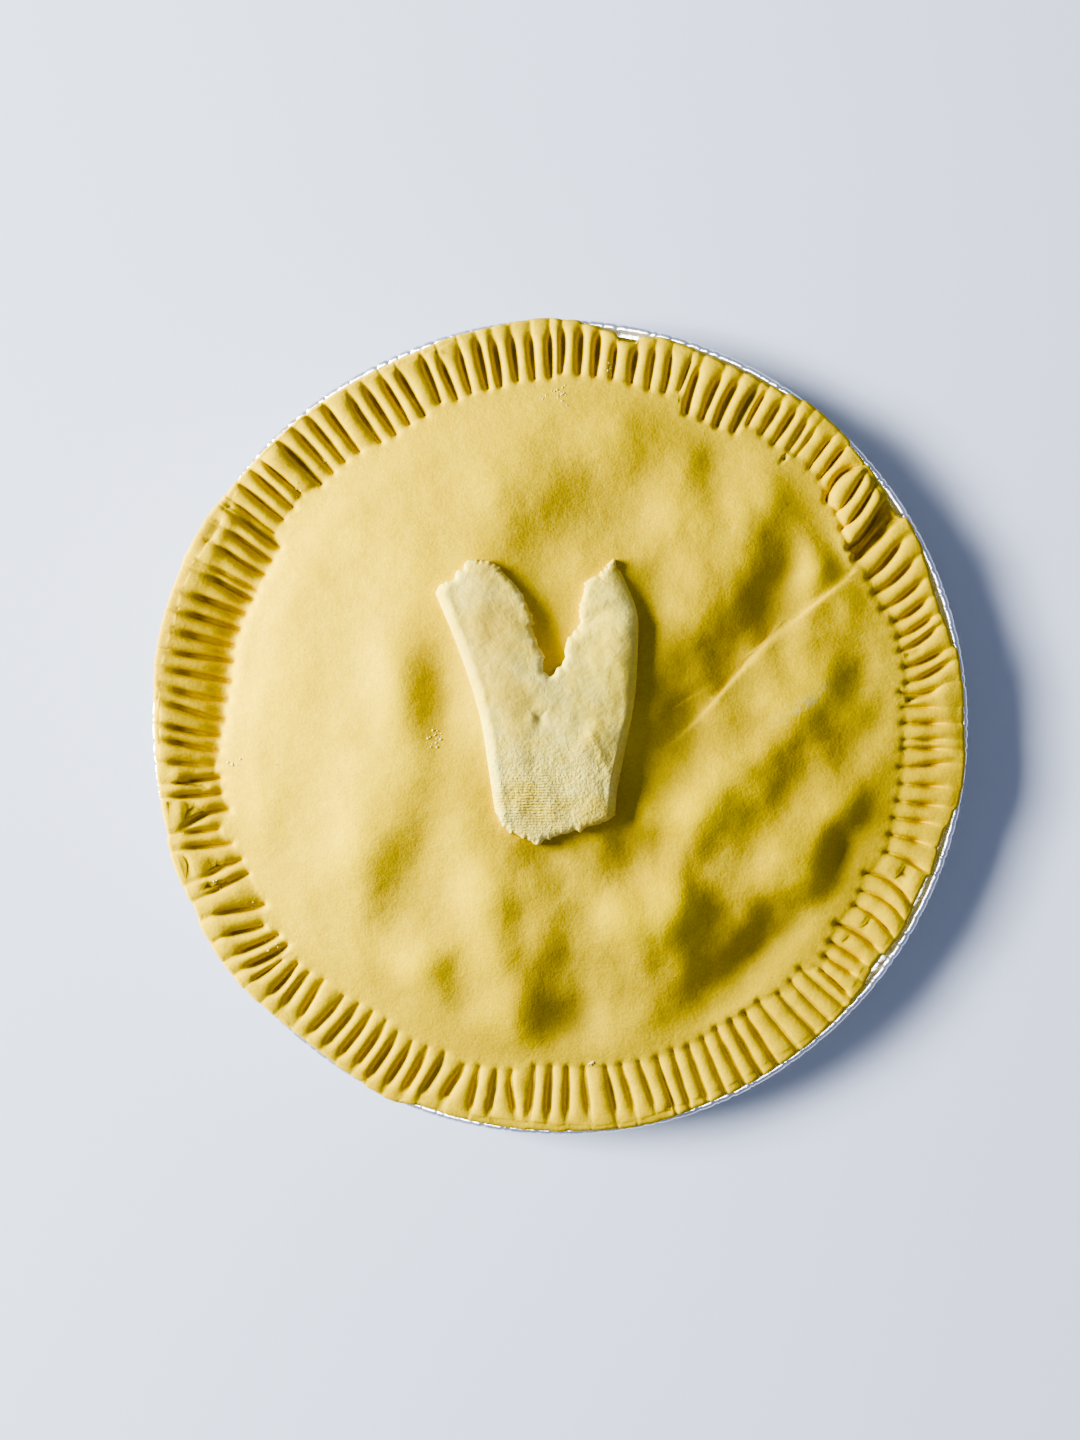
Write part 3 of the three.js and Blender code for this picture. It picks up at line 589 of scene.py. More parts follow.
def build_marks():
    """The fork marks in order round the rim, each a little unlike the others."""
    rng = np.random.default_rng(SEED)

    def stray(size):
        return rng.uniform(-size, size)

    rows = []
    for group in PRESSES:
        for tip, reach, end, lean, bow, floor, depth, lift, pinch in group:
            reach += stray(REACH_STRAY)
            end += stray(END_STRAY)
            bow += stray(BOW_STRAY)
            floor *= FLOOR_SHARE * (1 + stray(FLOOR_STRAY))
            depth *= DEPTH_SHARE * (1 + stray(DEPTH_STRAY))
            lift += stray(LIFT_STRAY)
            rows.append((tip, reach, end, lean, bow, floor, depth, lift, pinch))
    rows.sort()
    return np.array(rows).T


TIP, REACH, END, LEAN, BOW, FLOOR, DEPTH, LIFT, PINCH = build_marks()


TABLE_STEP = 0.5  # degrees between the entries of the tables round the rim
TABLE_SIDE = 60  # entries on each side that are smoothed together


def smooth_reach_table(width):
    """Radius of the fork tips round the rim, smoothed over a width in degrees."""
    degrees = np.arange(0.0, 360.0, TABLE_STEP)
    plain = np.interp(degrees, TIP, REACH, period=360)
    offsets = np.arange(-TABLE_SIDE, TABLE_SIDE + 1)
    weights = np.exp(-((offsets * TABLE_STEP / width) ** 2))
    weights /= weights.sum()
    return degrees, sum(w * np.roll(plain, -o) for o, w in zip(offsets, weights))


REACH_DEGREES, SMOOTH_REACH = smooth_reach_table(10.0)
_, PRESS_REACH = smooth_reach_table(1.6)


def smooth_reach(angle, table=SMOOTH_REACH):
    return np.interp(angle, REACH_DEGREES, table, period=360)


def outline_radius(angle):
    """The trimmed outline, smooth between its given points."""
    before = [(a - 360, r) for a, r in OUTLINE[-2:]]
    after = [(a + 360, r) for a, r in OUTLINE[:2]]
    around = [*before, *OUTLINE, *after]
    curve = np.array(catmull_rom(around, 8))
    return np.interp(angle % 360, curve[:, 0], curve[:, 1])


# ---------------------------------------------------------------- shape of the lid


def lump_height(x, y, blur=0.0):
    """Height of the lumps over the dome, also as it would be with every lump blurred."""
    total = np.zeros_like(x, dtype=float)
    for lump_x, lump_y, spread, height, stretch, turn in LUMPS:
        c, s = math.cos(math.radians(turn)), math.sin(math.radians(turn))
        long = math.hypot(spread * stretch, blur)
        short = math.hypot(spread, blur)
        along = ((x - lump_x) * c + (y - lump_y) * s) / long
        across = ((y - lump_y) * c - (x - lump_x) * s) / short
        kept = spread * stretch * spread / (long * short)
        total += kept * height * np.exp(-(along**2 + across**2))
    return total


def crumple_height(x, y):
    """Small unevenness of the lid, more of it where the filling is coarse."""
    coarse = lerp(*CRUMPLE_SHARES, smoothstep(x - 0.7 * y, -50, 60))
    inside = 1 - smoothstep(np.hypot(x, y), 88, 97)
    large = CRUMPLE_HEIGHT * flat_ripple(x, y, CRUMPLE_SIZE, 2, 11)
    small = sum(height * flat_ripple(x, y, size, 2, 12) for height, size in DIMPLES)
    return inside * (coarse * large + lerp(*DIMPLE_SHARES, smoothstep(x, -20, 70)) * small)


def fold_curve(line):
    return [line[0], *catmull_rom(line, 12)]


def fold_shapes(x, y):
    """The folds' height, and how deep their creases are, from 0 to 1."""
    height = np.zeros_like(x, dtype=float)
    crease = np.zeros_like(x, dtype=float)
    for rise, width, line in FOLDS:
        _, _, right, way = line_frame(x, y, fold_curve(line))
        beyond = np.clip(right / (width * lerp(0.4, 1.0, way)), 0, 1)
        grown = smoothstep(way, 0.0, 0.4) * (1 - 0.6 * smoothstep(way, 0.55, 1.0))
        height += rise * grown * smoothstep(right, -FOLD_STEP, FOLD_STEP) * (1 - beyond) ** 1.5
        in_crease = np.exp(-(((right + CREASE_OFFSET) / CREASE_WIDTH) ** 2))
        crease += min(rise, 1.0) * grown * in_crease
    return height - FOLD_GROOVE * crease, crease


def lid_height(x, y, blur=0.0):
    """Top of the lid inside the fork marks."""
    angle = np.degrees(np.arctan2(y, x)) % 360
    radius = np.hypot(x, y)
    dome = DOME_HEIGHT * (1 - np.minimum(radius / DOME_RADIUS, 1.0) ** DOME_FULLNESS) ** DOME_EASE
    kept = 1 - smoothstep(radius / smooth_reach(angle), LUMPS_END, 1.0)
    height = LID_EDGE_HEIGHT + dome + lump_height(x, y, blur) * kept
    return height if blur else height + fold_shapes(x, y)[0] + crumple_height(x, y)


def gather(x, y):
    """Draws points of the lid towards its folds, so that these come out crisp."""
    for _, _, line in FOLDS:
        away_x, away_y, right, way = line_frame(x, y, fold_curve(line))
        pull = 1 - np.clip(np.abs(right) / GATHER, 0, 1)
        pull = pull * smoothstep(way, 0.0, 0.08) * (1 - smoothstep(way, 0.94, 1.0))
        x = x - away_x * pull
        y = y - away_y * pull
    return x, y


# ---------------------------------------------------------------- shape of the pressed rim

# Sample lines beside a fork mark, as shares of its floor and millimetres beyond that.
FLOOR_SHARES = np.array([0.0, 0.6, 1.0, 1.0, 1.0, 1.0, 1.0])
WALL_OFFSETS = np.array([0.0, 0.0, -0.01, 0.06, 0.26, 0.6, 1.15])
SIDE_SAMPLES = len(FLOOR_SHARES)
SAMPLES = 2 * SIDE_SAMPLES  # from one mark to the next, with one line along the ridge's middle
MOST_OF_GAP = 0.46  # share of the gap between two marks that the lines beside one may take
LID_STEP = 4  # the lid has one sample line for this many of the rim's


def mark_way(mark, radius):
    return (radius - REACH[mark]) / (END[mark] - REACH[mark])


def mark_angle(mark, radius):
    way = np.clip(mark_way(mark, radius), 0, 1.1)
    eased = 0.5 * way + 0.5 * smoothstep(way, 0.0, 1.0)
    bowed = 4 * way * np.clip(1 - way, 0, 1)
    return TIP[mark] + LEAN[mark] * eased + BOW[mark] * bowed


def mark_floor(mark, radius):
    floor = FLOOR[mark] * lerp(TIP_FLOOR_SHARE, 1.0, smoothstep(mark_way(mark, radius), 0.0, 0.3))
    return np.maximum(floor, NARROWEST_FLOOR)


class Band:
    """Sample lines that follow the fork marks round the rim."""

    def __init__(self):
        count = len(TIP)
        self.left = np.repeat(np.arange(count), SAMPLES)
        self.right = (self.left + 1) % count
        self.slot = np.tile(np.arange(SAMPLES), count)
        share = self.slot / SAMPLES
        self.tip = (TIP[self.left] + share * ((TIP[self.right] - TIP[self.left]) % 360)) % 360
        self.reach = lerp(REACH[self.left], REACH[self.right], share)
        self.smooth_reach = smooth_reach(self.tip)
        self.press_reach = smooth_reach(self.tip, PRESS_REACH)
        plain_edge = outline_radius(self.tip)
        waver = ripple(polar(self.tip, plain_edge, 0.0), OUTLINE_WAVER_SIZE, 2, 8)
        self.edge = plain_edge + OUTLINE_WAVER * waver
        rng = np.random.default_rng(SEED + 4)
        self.ridge_shift = rng.uniform(-END_SPREAD, END_SPREAD, count)[self.left]

    def lines(self, radius):
        """Angle of each sample at its radius, and its distances to the marks on both sides."""
        left_angle = mark_angle(self.left, radius)
        right_angle = mark_angle(self.right, radius)
        gap = np.radians((right_angle - left_angle) % 360) * radius
        left_floor = mark_floor(self.left, radius)
        right_floor = mark_floor(self.right, radius)
        left_last = np.minimum(left_floor + WALL_OFFSETS[-1], MOST_OF_GAP * gap)
        right_last = np.minimum(right_floor + WALL_OFFSETS[-1], MOST_OF_GAP * gap)
        from_left = self.side_offset(self.slot, left_floor, left_last)
        from_right = self.side_offset(SAMPLES - self.slot, right_floor, right_last)
        middle = 0.5 * (left_last + gap - right_last)
        across = np.where(self.slot < SIDE_SAMPLES, from_left, gap - from_right)
        across = np.where(self.slot == SIDE_SAMPLES, middle, across)
        gathered = smoothstep(radius, self.reach - 2.0, self.reach - 0.3)
        across = lerp(gap * self.slot / SAMPLES, across, gathered)
        angle = left_angle + np.degrees(across / radius)
        return angle, across, gap - across

    @staticmethod
    def side_offset(slot, floor, last):
        """How far the sample line is from its mark."""
        k = np.clip(slot, 0, SIDE_SAMPLES - 1)
        plain = FLOOR_SHARES[k] * floor + WALL_OFFSETS[k]
        return plain * last / (floor + WALL_OFFSETS[-1])


BAND = Band()


def rounded(share):
    """0 to 1 with a steep start and a level end, as the section of a rope."""
    left = 1 - np.clip(share, 0, 1)
    return lerp(1 - left**2, np.sqrt(1 - left**2), 0.45)


def mark_fade(mark, way):
    """How far a mark has run out on its way to the outline."""
    start = FADE_START + humps(TIP[mark], FADE_STARTS)
    return smoothstep((way - start) / (1 - start), 0, 1)


def mark_depth(mark, radius):
    """Depth of the fork marks along their way."""
    way = mark_way(mark, radius)
    pinched = smoothstep(way, *PINCH_START) * (1 - smoothstep(way, *PINCH_END))
    tip_share = TIP_SHARE + humps(TIP[mark], TIP_SHARES)
    entry = lerp(tip_share, 1.0, smoothstep(way, 0.0, 0.5))
    faded = lerp(1.0, LIP_WAVES, mark_fade(mark, way))
    return DEPTH[mark] * (1 - PINCH[mark] * pinched) * entry * faded


def groove_depth(radius, from_left, from_right):
    """How deep the marks on both sides press each sample down."""
    total = np.zeros_like(radius)
    deepest = np.zeros_like(radius)
    for mark, across in ((BAND.left, from_left), (BAND.right, from_right)):
        inside = np.maximum(REACH[mark] + TIP_OVERRUN - radius, 0)
        distance = np.hypot(across, inside)
        depth = mark_depth(mark, radius)
        share = (distance - mark_floor(mark, radius)) / RIDGE_EDGE
        soft = mark_fade(mark, mark_way(mark, radius))
        total += depth * (1 - lerp(rounded(share), smoothstep(share, -0.6, 1.0), soft))
        deepest = np.maximum(deepest, depth)
    return np.minimum(total, deepest)


def ridge_lift(from_left, from_right):
    """Height of each ridge over the rim's mean, level across the marks."""
    before = (BAND.left - 1) % len(TIP)
    here = LIFT[BAND.left]
    at_left = 0.5 * (LIFT[before] + here)
    at_right = 0.5 * (LIFT[BAND.right] + here)
    lift = lerp(at_left, here, smoothstep(from_left, *RIDGE_FOOT))
    return lerp(at_right, lift, smoothstep(from_right, *RIDGE_FOOT))


def ridge_middle(from_left, from_right):
    """0 along the middle of a ridge and 1 at the marks beside it."""
    return np.abs(from_left - from_right) / (from_left + from_right)


def ridge_end(angle):
    """Where the ridges end: distance inside the outline, and the drop to the lip beyond."""
    inset = LIP_WIDTH + humps(angle, [(a, w, i) for a, w, i, _ in RIDGE_ENDS])
    drop = LIP_DROP + humps(angle, [(a, w, d) for a, w, _, d in RIDGE_ENDS])
    ragged = np.interp(angle % 360, RAGGED_DEGREES, RAGGED)
    return inset + 0.25 * ragged, np.maximum(drop, 0.0)


RAGGED_DEGREES = np.arange(0, 361, TABLE_STEP)
RAGGED = ripple(polar(RAGGED_DEGREES, 116.0, 0.0), 2.5, 3, 5)


def rim_swellings(angle, radius):
    total = np.zeros_like(radius)
    for middle, ring, along, across, height in SWELLINGS:
        round_rim = np.radians(turn_between(angle, middle)) * radius
        total += height * np.exp(-((round_rim / along) ** 2) - ((radius - ring) / across) ** 2)
    return total


def cut_depth(angle, radius):
    flat = polar(angle, radius, 0.0)
    total = np.zeros_like(radius)
    for floor, depth, *route in CUTS:
        line = polar(*np.array(route).T, 0.0)[:, :2]
        _, _, across, _ = line_frame(flat[:, 0], flat[:, 1], line)
        total = np.maximum(total, depth * (1 - rounded((np.abs(across) - floor) / CUT_EDGE)))
    return total


def rim_crest(angle, radius, lid, from_left, from_right):
    """Height of the ridges, from the lid out to the outline."""
    start = BAND.press_reach
    edge = BAND.edge
    way = (radius - start) / (edge - start)
    lifted = ridge_lift(from_left, from_right) * smoothstep(radius, start - 0.3, start + 1.5)
    lifted = lifted * (1 - 0.6 * smoothstep(radius, edge - 3.0, edge - 1.0))
    crest = LID_EDGE_HEIGHT + INNER_RISE * smoothstep(way, 0.0, 0.3)
    crest = crest + OUTER_RISE * smoothstep(way, 0.2, 0.95)
    crest = crest + humps(angle, RIM_LIFTS) * smoothstep(way, -0.05, 0.85) + lifted
    crest = crest + rim_swellings(angle, radius)
    crest = crest - humps(angle, SLOPES) * smoothstep(radius, edge - SLOPE_WIDTH, edge)
    return lerp(lid, crest, smoothstep(radius, start - 4.0, start + 2.4))


def beyond_ridge(angle, radius, from_left, from_right):
    """How far past its ridge's round end each sample lies, from 0 to 1, and the drop there."""
    inset, drop = ridge_end(angle)
    curved = 1 - np.sqrt(1 - 0.99 * ridge_middle(from_left, from_right) ** 2)
    own_end = inset + END_ROUNDING * curved + BAND.ridge_shift
    own_end = lerp(inset, own_end, smoothstep(drop, 0.2, 0.9))
    return np.clip((radius - (BAND.edge - own_end)) / LIP_ROUNDING + 1, 0, 1), drop


def rim_roughness(x, y, radius):
    start = BAND.press_reach
    rough = sum(height * flat_ripple(x, y, size, 2, seed) for height, size, seed in ROUGHNESS)
    return rough * smoothstep(radius, start - 1.4, start + 1.0)


def rim_surface(radius):
    """Points of the rim with one radius for each sample, and how much painted shade each gets: the
    depth of the mark it lies in, or more on the lip and over the rim at some angles.
    """
    angle, from_left, from_right = BAND.lines(radius)
    flat = polar(angle, radius, 0.0)
    x, y = flat[:, 0], flat[:, 1]
    crest = rim_crest(angle, radius, lid_height(x, y), from_left, from_right)
    groove_depth_and_shade = groove_depth(radius, from_left, from_right)
    cut = cut_depth(angle, radius)
    beyond, drop = beyond_ridge(angle, radius, from_left, from_right)
    end_drop = drop * (1 - np.sqrt(1 - beyond**2))
    deep = np.maximum(np.maximum(groove_depth_and_shade, cut), end_drop)
    flat[:, 2] = crest - deep + rim_roughness(x, y, radius)
    # Painted shade on the lip and over the rim at some angles, on top of that in the marks and
    # cuts.
    lip_painted_shade = LIP_PAINTED_SHADE * np.maximum(smoothstep(drop, 0.3, 0.9), humps(angle, LIP_PAINTED_SHADES)) * beyond
    start = BAND.press_reach
    rim_painted_shade = humps(angle, RIM_PAINTED_SHADES) * smoothstep(radius, start + 0.5, start + 4.0)
    return flat, np.maximum(np.maximum(groove_depth_and_shade + cut, lip_painted_shade), rim_painted_shade)


# The rim's rings lie at these distances from the fork tips, then evenly spaced, then at these
# distances from the ridges' ends, and then on the lip and round its edge.
TIP_OFFSETS = [-4.6, -3.4, -2.3, -1.4, -0.85, -0.5, -0.2, 0.05, 0.3, 0.6, 1.0, 1.6, 2.4]
TIP_TURNS = [0.0, 0.35, 0.7] + [1.0] * 10  # from the smoothed radius to that of each mark
MIDDLE_RINGS = 10
END_OFFSETS = [-0.9, -0.55, -0.28, -0.1, 0.0]
LIP_RING_SHARES = (0.4, 0.8)
EDGE_ROUNDING = 1.05
EDGE_STRETCH = 1.3  # how much higher than wide the rounded edge is
EDGE_INSET = 0.9  # how far the underside's edge lies inside the outline
EDGE_DEGREES = (15, 40, 65, 90, 125)


def rim_radii():
    """The rim's rings, each with one radius for each sample."""
    inset, _ = ridge_end(BAND.tip)
    end = BAND.edge - inset
    radii = []
    for offset, turned in zip(TIP_OFFSETS, TIP_TURNS):
        radii.append(lerp(BAND.smooth_reach, BAND.reach, turned) + offset)
    start = BAND.reach + TIP_OFFSETS[-1]
    for k in range(1, MIDDLE_RINGS + 1):
        radii.append(lerp(start, end + END_OFFSETS[0], k / (MIDDLE_RINGS + 1)))
    radii += [end + offset for offset in END_OFFSETS]
    radii += [lerp(end, BAND.edge - EDGE_ROUNDING, share) for share in LIP_RING_SHARES]
    return radii


def edge_rings(top, angle):
    """The rounded outline, down to the underside."""
    rings = []
    for degrees in EDGE_DEGREES:
        a = math.radians(degrees)
        radius = BAND.edge - EDGE_ROUNDING * (1 - math.sin(a))
        rings.append(polar(angle, radius, top - EDGE_ROUNDING * (1 - math.cos(a)) * EDGE_STRETCH))
    rings.append(polar(angle, BAND.edge - EDGE_INSET, np.full_like(top, EDGE_BOTTOM)))
    return rings


# The part of the pastry in the dish, out of sight: radius, height.
SUNK_ROWS = [
    (116.0, 30.4),
    (MOUTH_RADIUS - 1.0, 30.4),
    (107.5, 27.0),
    (92.5, 6.0),
    (86.5, SUNK_BOTTOM),
]


def sunk_rings():
    angle = BAND.tip[::SAMPLES]
    return [polar(angle, np.full_like(angle, radius), height) for radius, height in SUNK_ROWS]


# The lid's rings: shares of the way to the rim, one sample line for how many of the rim's, spacing.
LID_ZONES = [(0.0, 0.25, 5 * LID_STEP, 2.0), (0.25, 1.0, LID_STEP, 1.75)]
LID_RADIUS = 98.0


def lid_rings():
    """The lid's rings, without the last one, which is the rim's first."""
    rings = []
    rim = BAND.smooth_reach + TIP_OFFSETS[0]
    for low, high, step, spacing in LID_ZONES:
        count = round((high - low) * LID_RADIUS / spacing)
        for k in range(1, count + 1):
            share = lerp(low, high, k / count)
            flat = polar(BAND.tip[::step], share * rim[::step], 0.0)
            x, y = gather(flat[:, 0], flat[:, 1])
            rings.append(np.column_stack([x, y, lid_height(x, y)]))
    return rings[:-1]


def build_pastry():
    stack = RingStack((0, 0, float(lid_height(np.zeros(1), np.zeros(1))[0])))
    for ring in lid_rings():
        stack.add(ring)
    # Strength of the painted shade at each point, none on the lid's rings.
    groove_depth_and_shade = [np.zeros(len(stack.points))]
    for radius in rim_radii():
        ring, depth = rim_surface(radius)
        stack.add(ring)
        groove_depth_and_shade.append(depth)
    angle = np.degrees(np.arctan2(ring[:, 1], ring[:, 0]))
    for ring in edge_rings(ring[:, 2], angle):
        stack.add(ring)
        groove_depth_and_shade.append(depth)
    for ring in sunk_rings():
        stack.add(ring)
    stack.close((0, 0, SUNK_BOTTOM))
    item = make_object("pie_pastry", stack.points, stack.faces)
    set_tints(item, np.concatenate(groove_depth_and_shade))
    return item


def set_tints(item, groove_depth_and_shade):
    """What the pastry's colours follow: painted shade in the lid's hollows and painted light on its
    lumps, painted shade in the marks, on the lip, over the rim and in the creases, and a whitish
    streak.
    """
    points = mesh_points(item.data)
    x, y = points[:, 0], points[:, 1]
    inside = 1 - smoothstep(np.hypot(x, y), 92, 100)
    # Painted shade in the lid's hollows and painted light on its lumps and crumples, by their
    # height over a blurred copy.
    hollow_shade_and_top_light = lump_height(x, y) - lump_height(x, y, LUMP_LIGHT_SHADE_BLUR) + 1.2 * crumple_height(x, y)
    set_attribute(item, "hollow_shade_and_top_light", hollow_shade_and_top_light * inside)
    # Painted shade in the marks, on the lip, over the rim at some angles and in the folds' creases.
    groove_depth_and_shade = np.pad(groove_depth_and_shade, (0, len(points) - len(groove_depth_and_shade)))
    set_attribute(item, "groove_depth_and_shade", groove_depth_and_shade + CREASE_PAINTED_SHADE * inside * fold_shapes(x, y)[1])
    # A paler, whitish streak along a line near the fold.
    _, _, off_pale_streak, way = line_frame(x, y, PALE_STREAK_LINE)
    pale_streak = np.exp(-((off_pale_streak / PALE_STREAK_WIDTH) ** 2)) * smoothstep(way, 0.0, 0.3) * inside
    set_attribute(item, "pale_streak", pale_streak * (1 - smoothstep(way, 0.7, 1.0)))


# ---------------------------------------------------------------- forked piece on the lid


LEAF_STEP = 0.6  # between the outline's points
LEAF_VOXEL = 0.36


def leaf_outline():
    """The cut outline with the run that each of its points belongs to, torn along some of them."""
    rng = np.random.default_rng(SEED + 1)
    start = LEAF_START
    outline, kinds = [], []
    for index, run in enumerate(LEAF_RUNS):
        points = [start, *run]
        length = sum(math.dist(points[i], points[i + 1]) for i in range(len(points) - 1))
        steps = max(2, round(length / len(run) / LEAF_STEP))
        curve = np.array(catmull_rom(points, steps))
        if index in LEAF_TORN_RUNS:
            tooth = rng.normal(0, LEAF_TEETH, len(curve)) * rng.uniform(0, 1.5, len(curve))
            tooth += LEAF_BITES * flat_ripple(curve[:, 0], curve[:, 1], 2.6, 3, 9)
            outward = np.gradient(curve, axis=0)
            outward = np.stack([-outward[:, 1], outward[:, 0]], axis=1)
            outward /= np.linalg.norm(outward, axis=1)[:, None] + 1e-9
            curve[:-1] += (outward * tooth[:, None])[:-1]
        outline.extend(curve)
        kinds.extend([index] * len(curve))
        start = run[-1]
    return np.array(outline), np.array(kinds)


def distance_to_runs(points, outline, kinds, runs):
    """Distance of each point to the given runs of the outline."""
    best = np.full(len(points), 1e9)
    previous = np.roll(outline, 1, axis=0)
    for p, q, kind in zip(previous, outline, kinds):
        if kind not in runs:
            continue
        d = q - p
        t = np.clip(((points - p) @ d) / max(d @ d, 1e-9), 0, 1)
        best = np.minimum(best, np.linalg.norm(points - p - t[:, None] * d, axis=1))
    return best


def leaf_block(outline):
    """A prism over the outline, cut into small even faces."""
    mesh = bmesh.new()
    ring = [mesh.verts.new((x * MM, y * MM, 0)) for x, y in outline]
    face = mesh.faces.new(ring)
    grown = bmesh.ops.extrude_face_region(mesh, geom=[face])
    top = [v for v in grown["geom"] if isinstance(v, bmesh.types.BMVert)]
    bmesh.ops.translate(mesh, vec=(0, 0, LEAF_THICKNESS * MM), verts=top)
    bmesh.ops.recalc_face_normals(mesh, faces=mesh.faces)
    block = bpy.data.meshes.new("leaf_block")
    mesh.to_mesh(block)
    mesh.free()
    item = link_object("forked_dough", block)
    remesh = item.modifiers.new("remesh", "REMESH")
    remesh.mode = "VOXEL"
    remesh.voxel_size = LEAF_VOXEL * MM
    remesh.use_smooth_shade = True
    smooth = item.modifiers.new("smooth", "SMOOTH")
    smooth.iterations = 2
    smooth.factor = 0.5
    graph = bpy.context.evaluated_depsgraph_get()
    fine = bpy.data.meshes.new_from_object(item.evaluated_get(graph))
    item.modifiers.clear()
    item.data = fine
    return item


def edge_profile(distance, width, floor):
    """Share of the full thickness near an edge that rounds over within a width."""
    return lerp(floor, 1.0, np.sqrt(1 - (1 - np.clip(distance / width, 0, 1)) ** 2))


def leaf_body(x, y, rolled, cut, torn):
    """Thickness of the dough on top, from the distances to its edges of each kind."""
    fray = 0.5 + 0.5 * flat_ripple(x, y, 1.6, 2, 6)
    upper = smoothstep(y, -4, 22)
    cut_profile = edge_profile(cut, lerp(1.6, 6.0, upper), lerp(0.45, 0.12, upper))
    profile = np.minimum(edge_profile(rolled, 3.2, 0.12), cut_profile)
    profile = np.minimum(profile, edge_profile(torn, 1.4 + fray, 0.5))
    sliced = lerp(1.0, 0.35, (1 - smoothstep(cut, 0.5, 2.6)) * spots(x, y, LEAF_SLICED))
    right = smoothstep(x, -4, 14) * (1 - smoothstep(y, -8, 34))
    body = lerp(0.82, 1.15, right) * LEAF_THICKNESS * profile * sliced
    body = body + LEAF_BEAD * np.exp(-(((rolled - 2.6) / 1.5) ** 2)) + spots(x, y, LEAF_SWELLINGS)
    for height, width, line in LEAF_LINES:
        _, _, off_line, _ = line_frame(x, y, line)
        body = body + height * np.exp(-((off_line / width) ** 2))
    for height, size, octaves, seed in LEAF_RELIEF:
        body = body + height * flat_ripple(x, y, size, octaves, seed)
    return body


def build_leaf():
    outline, kinds = leaf_outline()
    item = leaf_block(outline)
    points = mesh_points(item.data)
    x, y = points[:, 0].copy(), points[:, 1].copy()
    edges = (LEAF_ROLLED_RUNS, LEAF_CUT_RUNS, LEAF_TORN_RUNS)
    rolled, cut, torn = (distance_to_runs(points[:, :2], outline, kinds, runs) for runs in edges)
    share = points[:, 2] / LEAF_THICKNESS
    under = lerp(lid_height(x, y), lid_height(x, y, LEAF_BLUR), share)
    points[:, 2] = share * leaf_body(x, y, rolled, cut, torn) + under
    item.data.vertices.foreach_set("co", (points * MM).ravel())
    item.data.update()
    warm_edges = 0.9 * np.exp(-((np.minimum(rolled, cut) / 1.8) ** 2))
    set_attribute(item, "grey", spots(x, y, LEAF_GREY))
    set_attribute(item, "warm", spots(x, y, LEAF_WARM) + warm_edges)
    set_attribute(item, "pebbles", smoothstep(-y, -4, 14))
    set_attribute(item, "prints", spots(x, y, LEAF_PRINTS))
    return item


# ---------------------------------------------------------------- foil dish


FOIL = 0.35  # the foil's thickness
WALL_HEIGHTS = (5, 10, 15, 20, 25, 28)
FLANGE_RADII = (113.5, 115.0, 116.5)
DISH_SAMPLES = 2400  # round the rim
RIM_WAVES = (3, 14, 5)  # fewest and most turns, and how many waves
TUCKS = 190


def dish_profile():
    """Section of the dish from the axis out along its underside, round the bead, and back."""
    rows = [(r, 0.0) for r in (30.0, 60.0, 80.0, BASE_RADIUS - CORNER_RADIUS)]
    for degrees in (-70, -50, -32):
        a = math.radians(degrees)
        centre = BASE_RADIUS - CORNER_RADIUS
        rows.append((centre + CORNER_RADIUS * math.cos(a), CORNER_RADIUS * (1 + math.sin(a))))
    slant = (MOUTH_RADIUS - BASE_RADIUS + 1) / (DISH_HEIGHT - 2)
    wall = [(BASE_RADIUS - 1 + slant * (z - 2), z) for z in WALL_HEIGHTS]
    rows += [(r + FOIL, z) for r, z in wall]
    rows += [(MOUTH_RADIUS + 0.4, DISH_HEIGHT - 0.6), (MOUTH_RADIUS + 1.2, DISH_HEIGHT - FOIL)]
    rows += [(r, DISH_HEIGHT - FOIL) for r in FLANGE_RADII]
    bead_r = DISH_RADIUS - BEAD_RADIUS
    bead_z = DISH_HEIGHT - 0.3 * BEAD_RADIUS
    for degrees in range(190, 190 + 330, 24):
        a = math.radians(degrees)
        rows.append((bead_r + BEAD_RADIUS * math.cos(a), bead_z + BEAD_RADIUS * math.sin(a)))
    rows += [(r, DISH_HEIGHT) for r in (*FLANGE_RADII[::-1], 112.0)]
    rows += [(MOUTH_RADIUS + 0.2, DISH_HEIGHT - 0.3)]
    rows += wall[::-1]
    rows += [(90.5, 2.6), (88.5, 0.9), (80.0, FOIL), (60.0, FOIL), (30.0, FOIL)]
    return rows


def pleat_wave(angle, low, high, count, seed):
    """Irregular waves round the rim, about -1 to 1."""
    rng = np.random.default_rng(seed)
    total = np.zeros_like(angle)
    for _ in range(count):
        turns = rng.integers(low, high)
        total += np.cos(np.radians(angle) * turns + rng.uniform(0, 2 * math.pi))
    return total / math.sqrt(count)


def foil_tucks(angle, count, seed):
    """Narrow radial tucks where the rim's foil was gathered, each 0 to 1 deep."""
    rng = np.random.default_rng(seed)
    total = np.zeros_like(angle)
    for middle in (np.arange(count) + rng.uniform(-0.4, 0.4, count)) * 360 / count:
        half = rng.uniform(0.16, 0.4)
        deep = rng.uniform(0.2, 1.0)
        total = np.maximum(total, deep * np.exp(-((turn_between(angle, middle) / half) ** 2)))
    return total


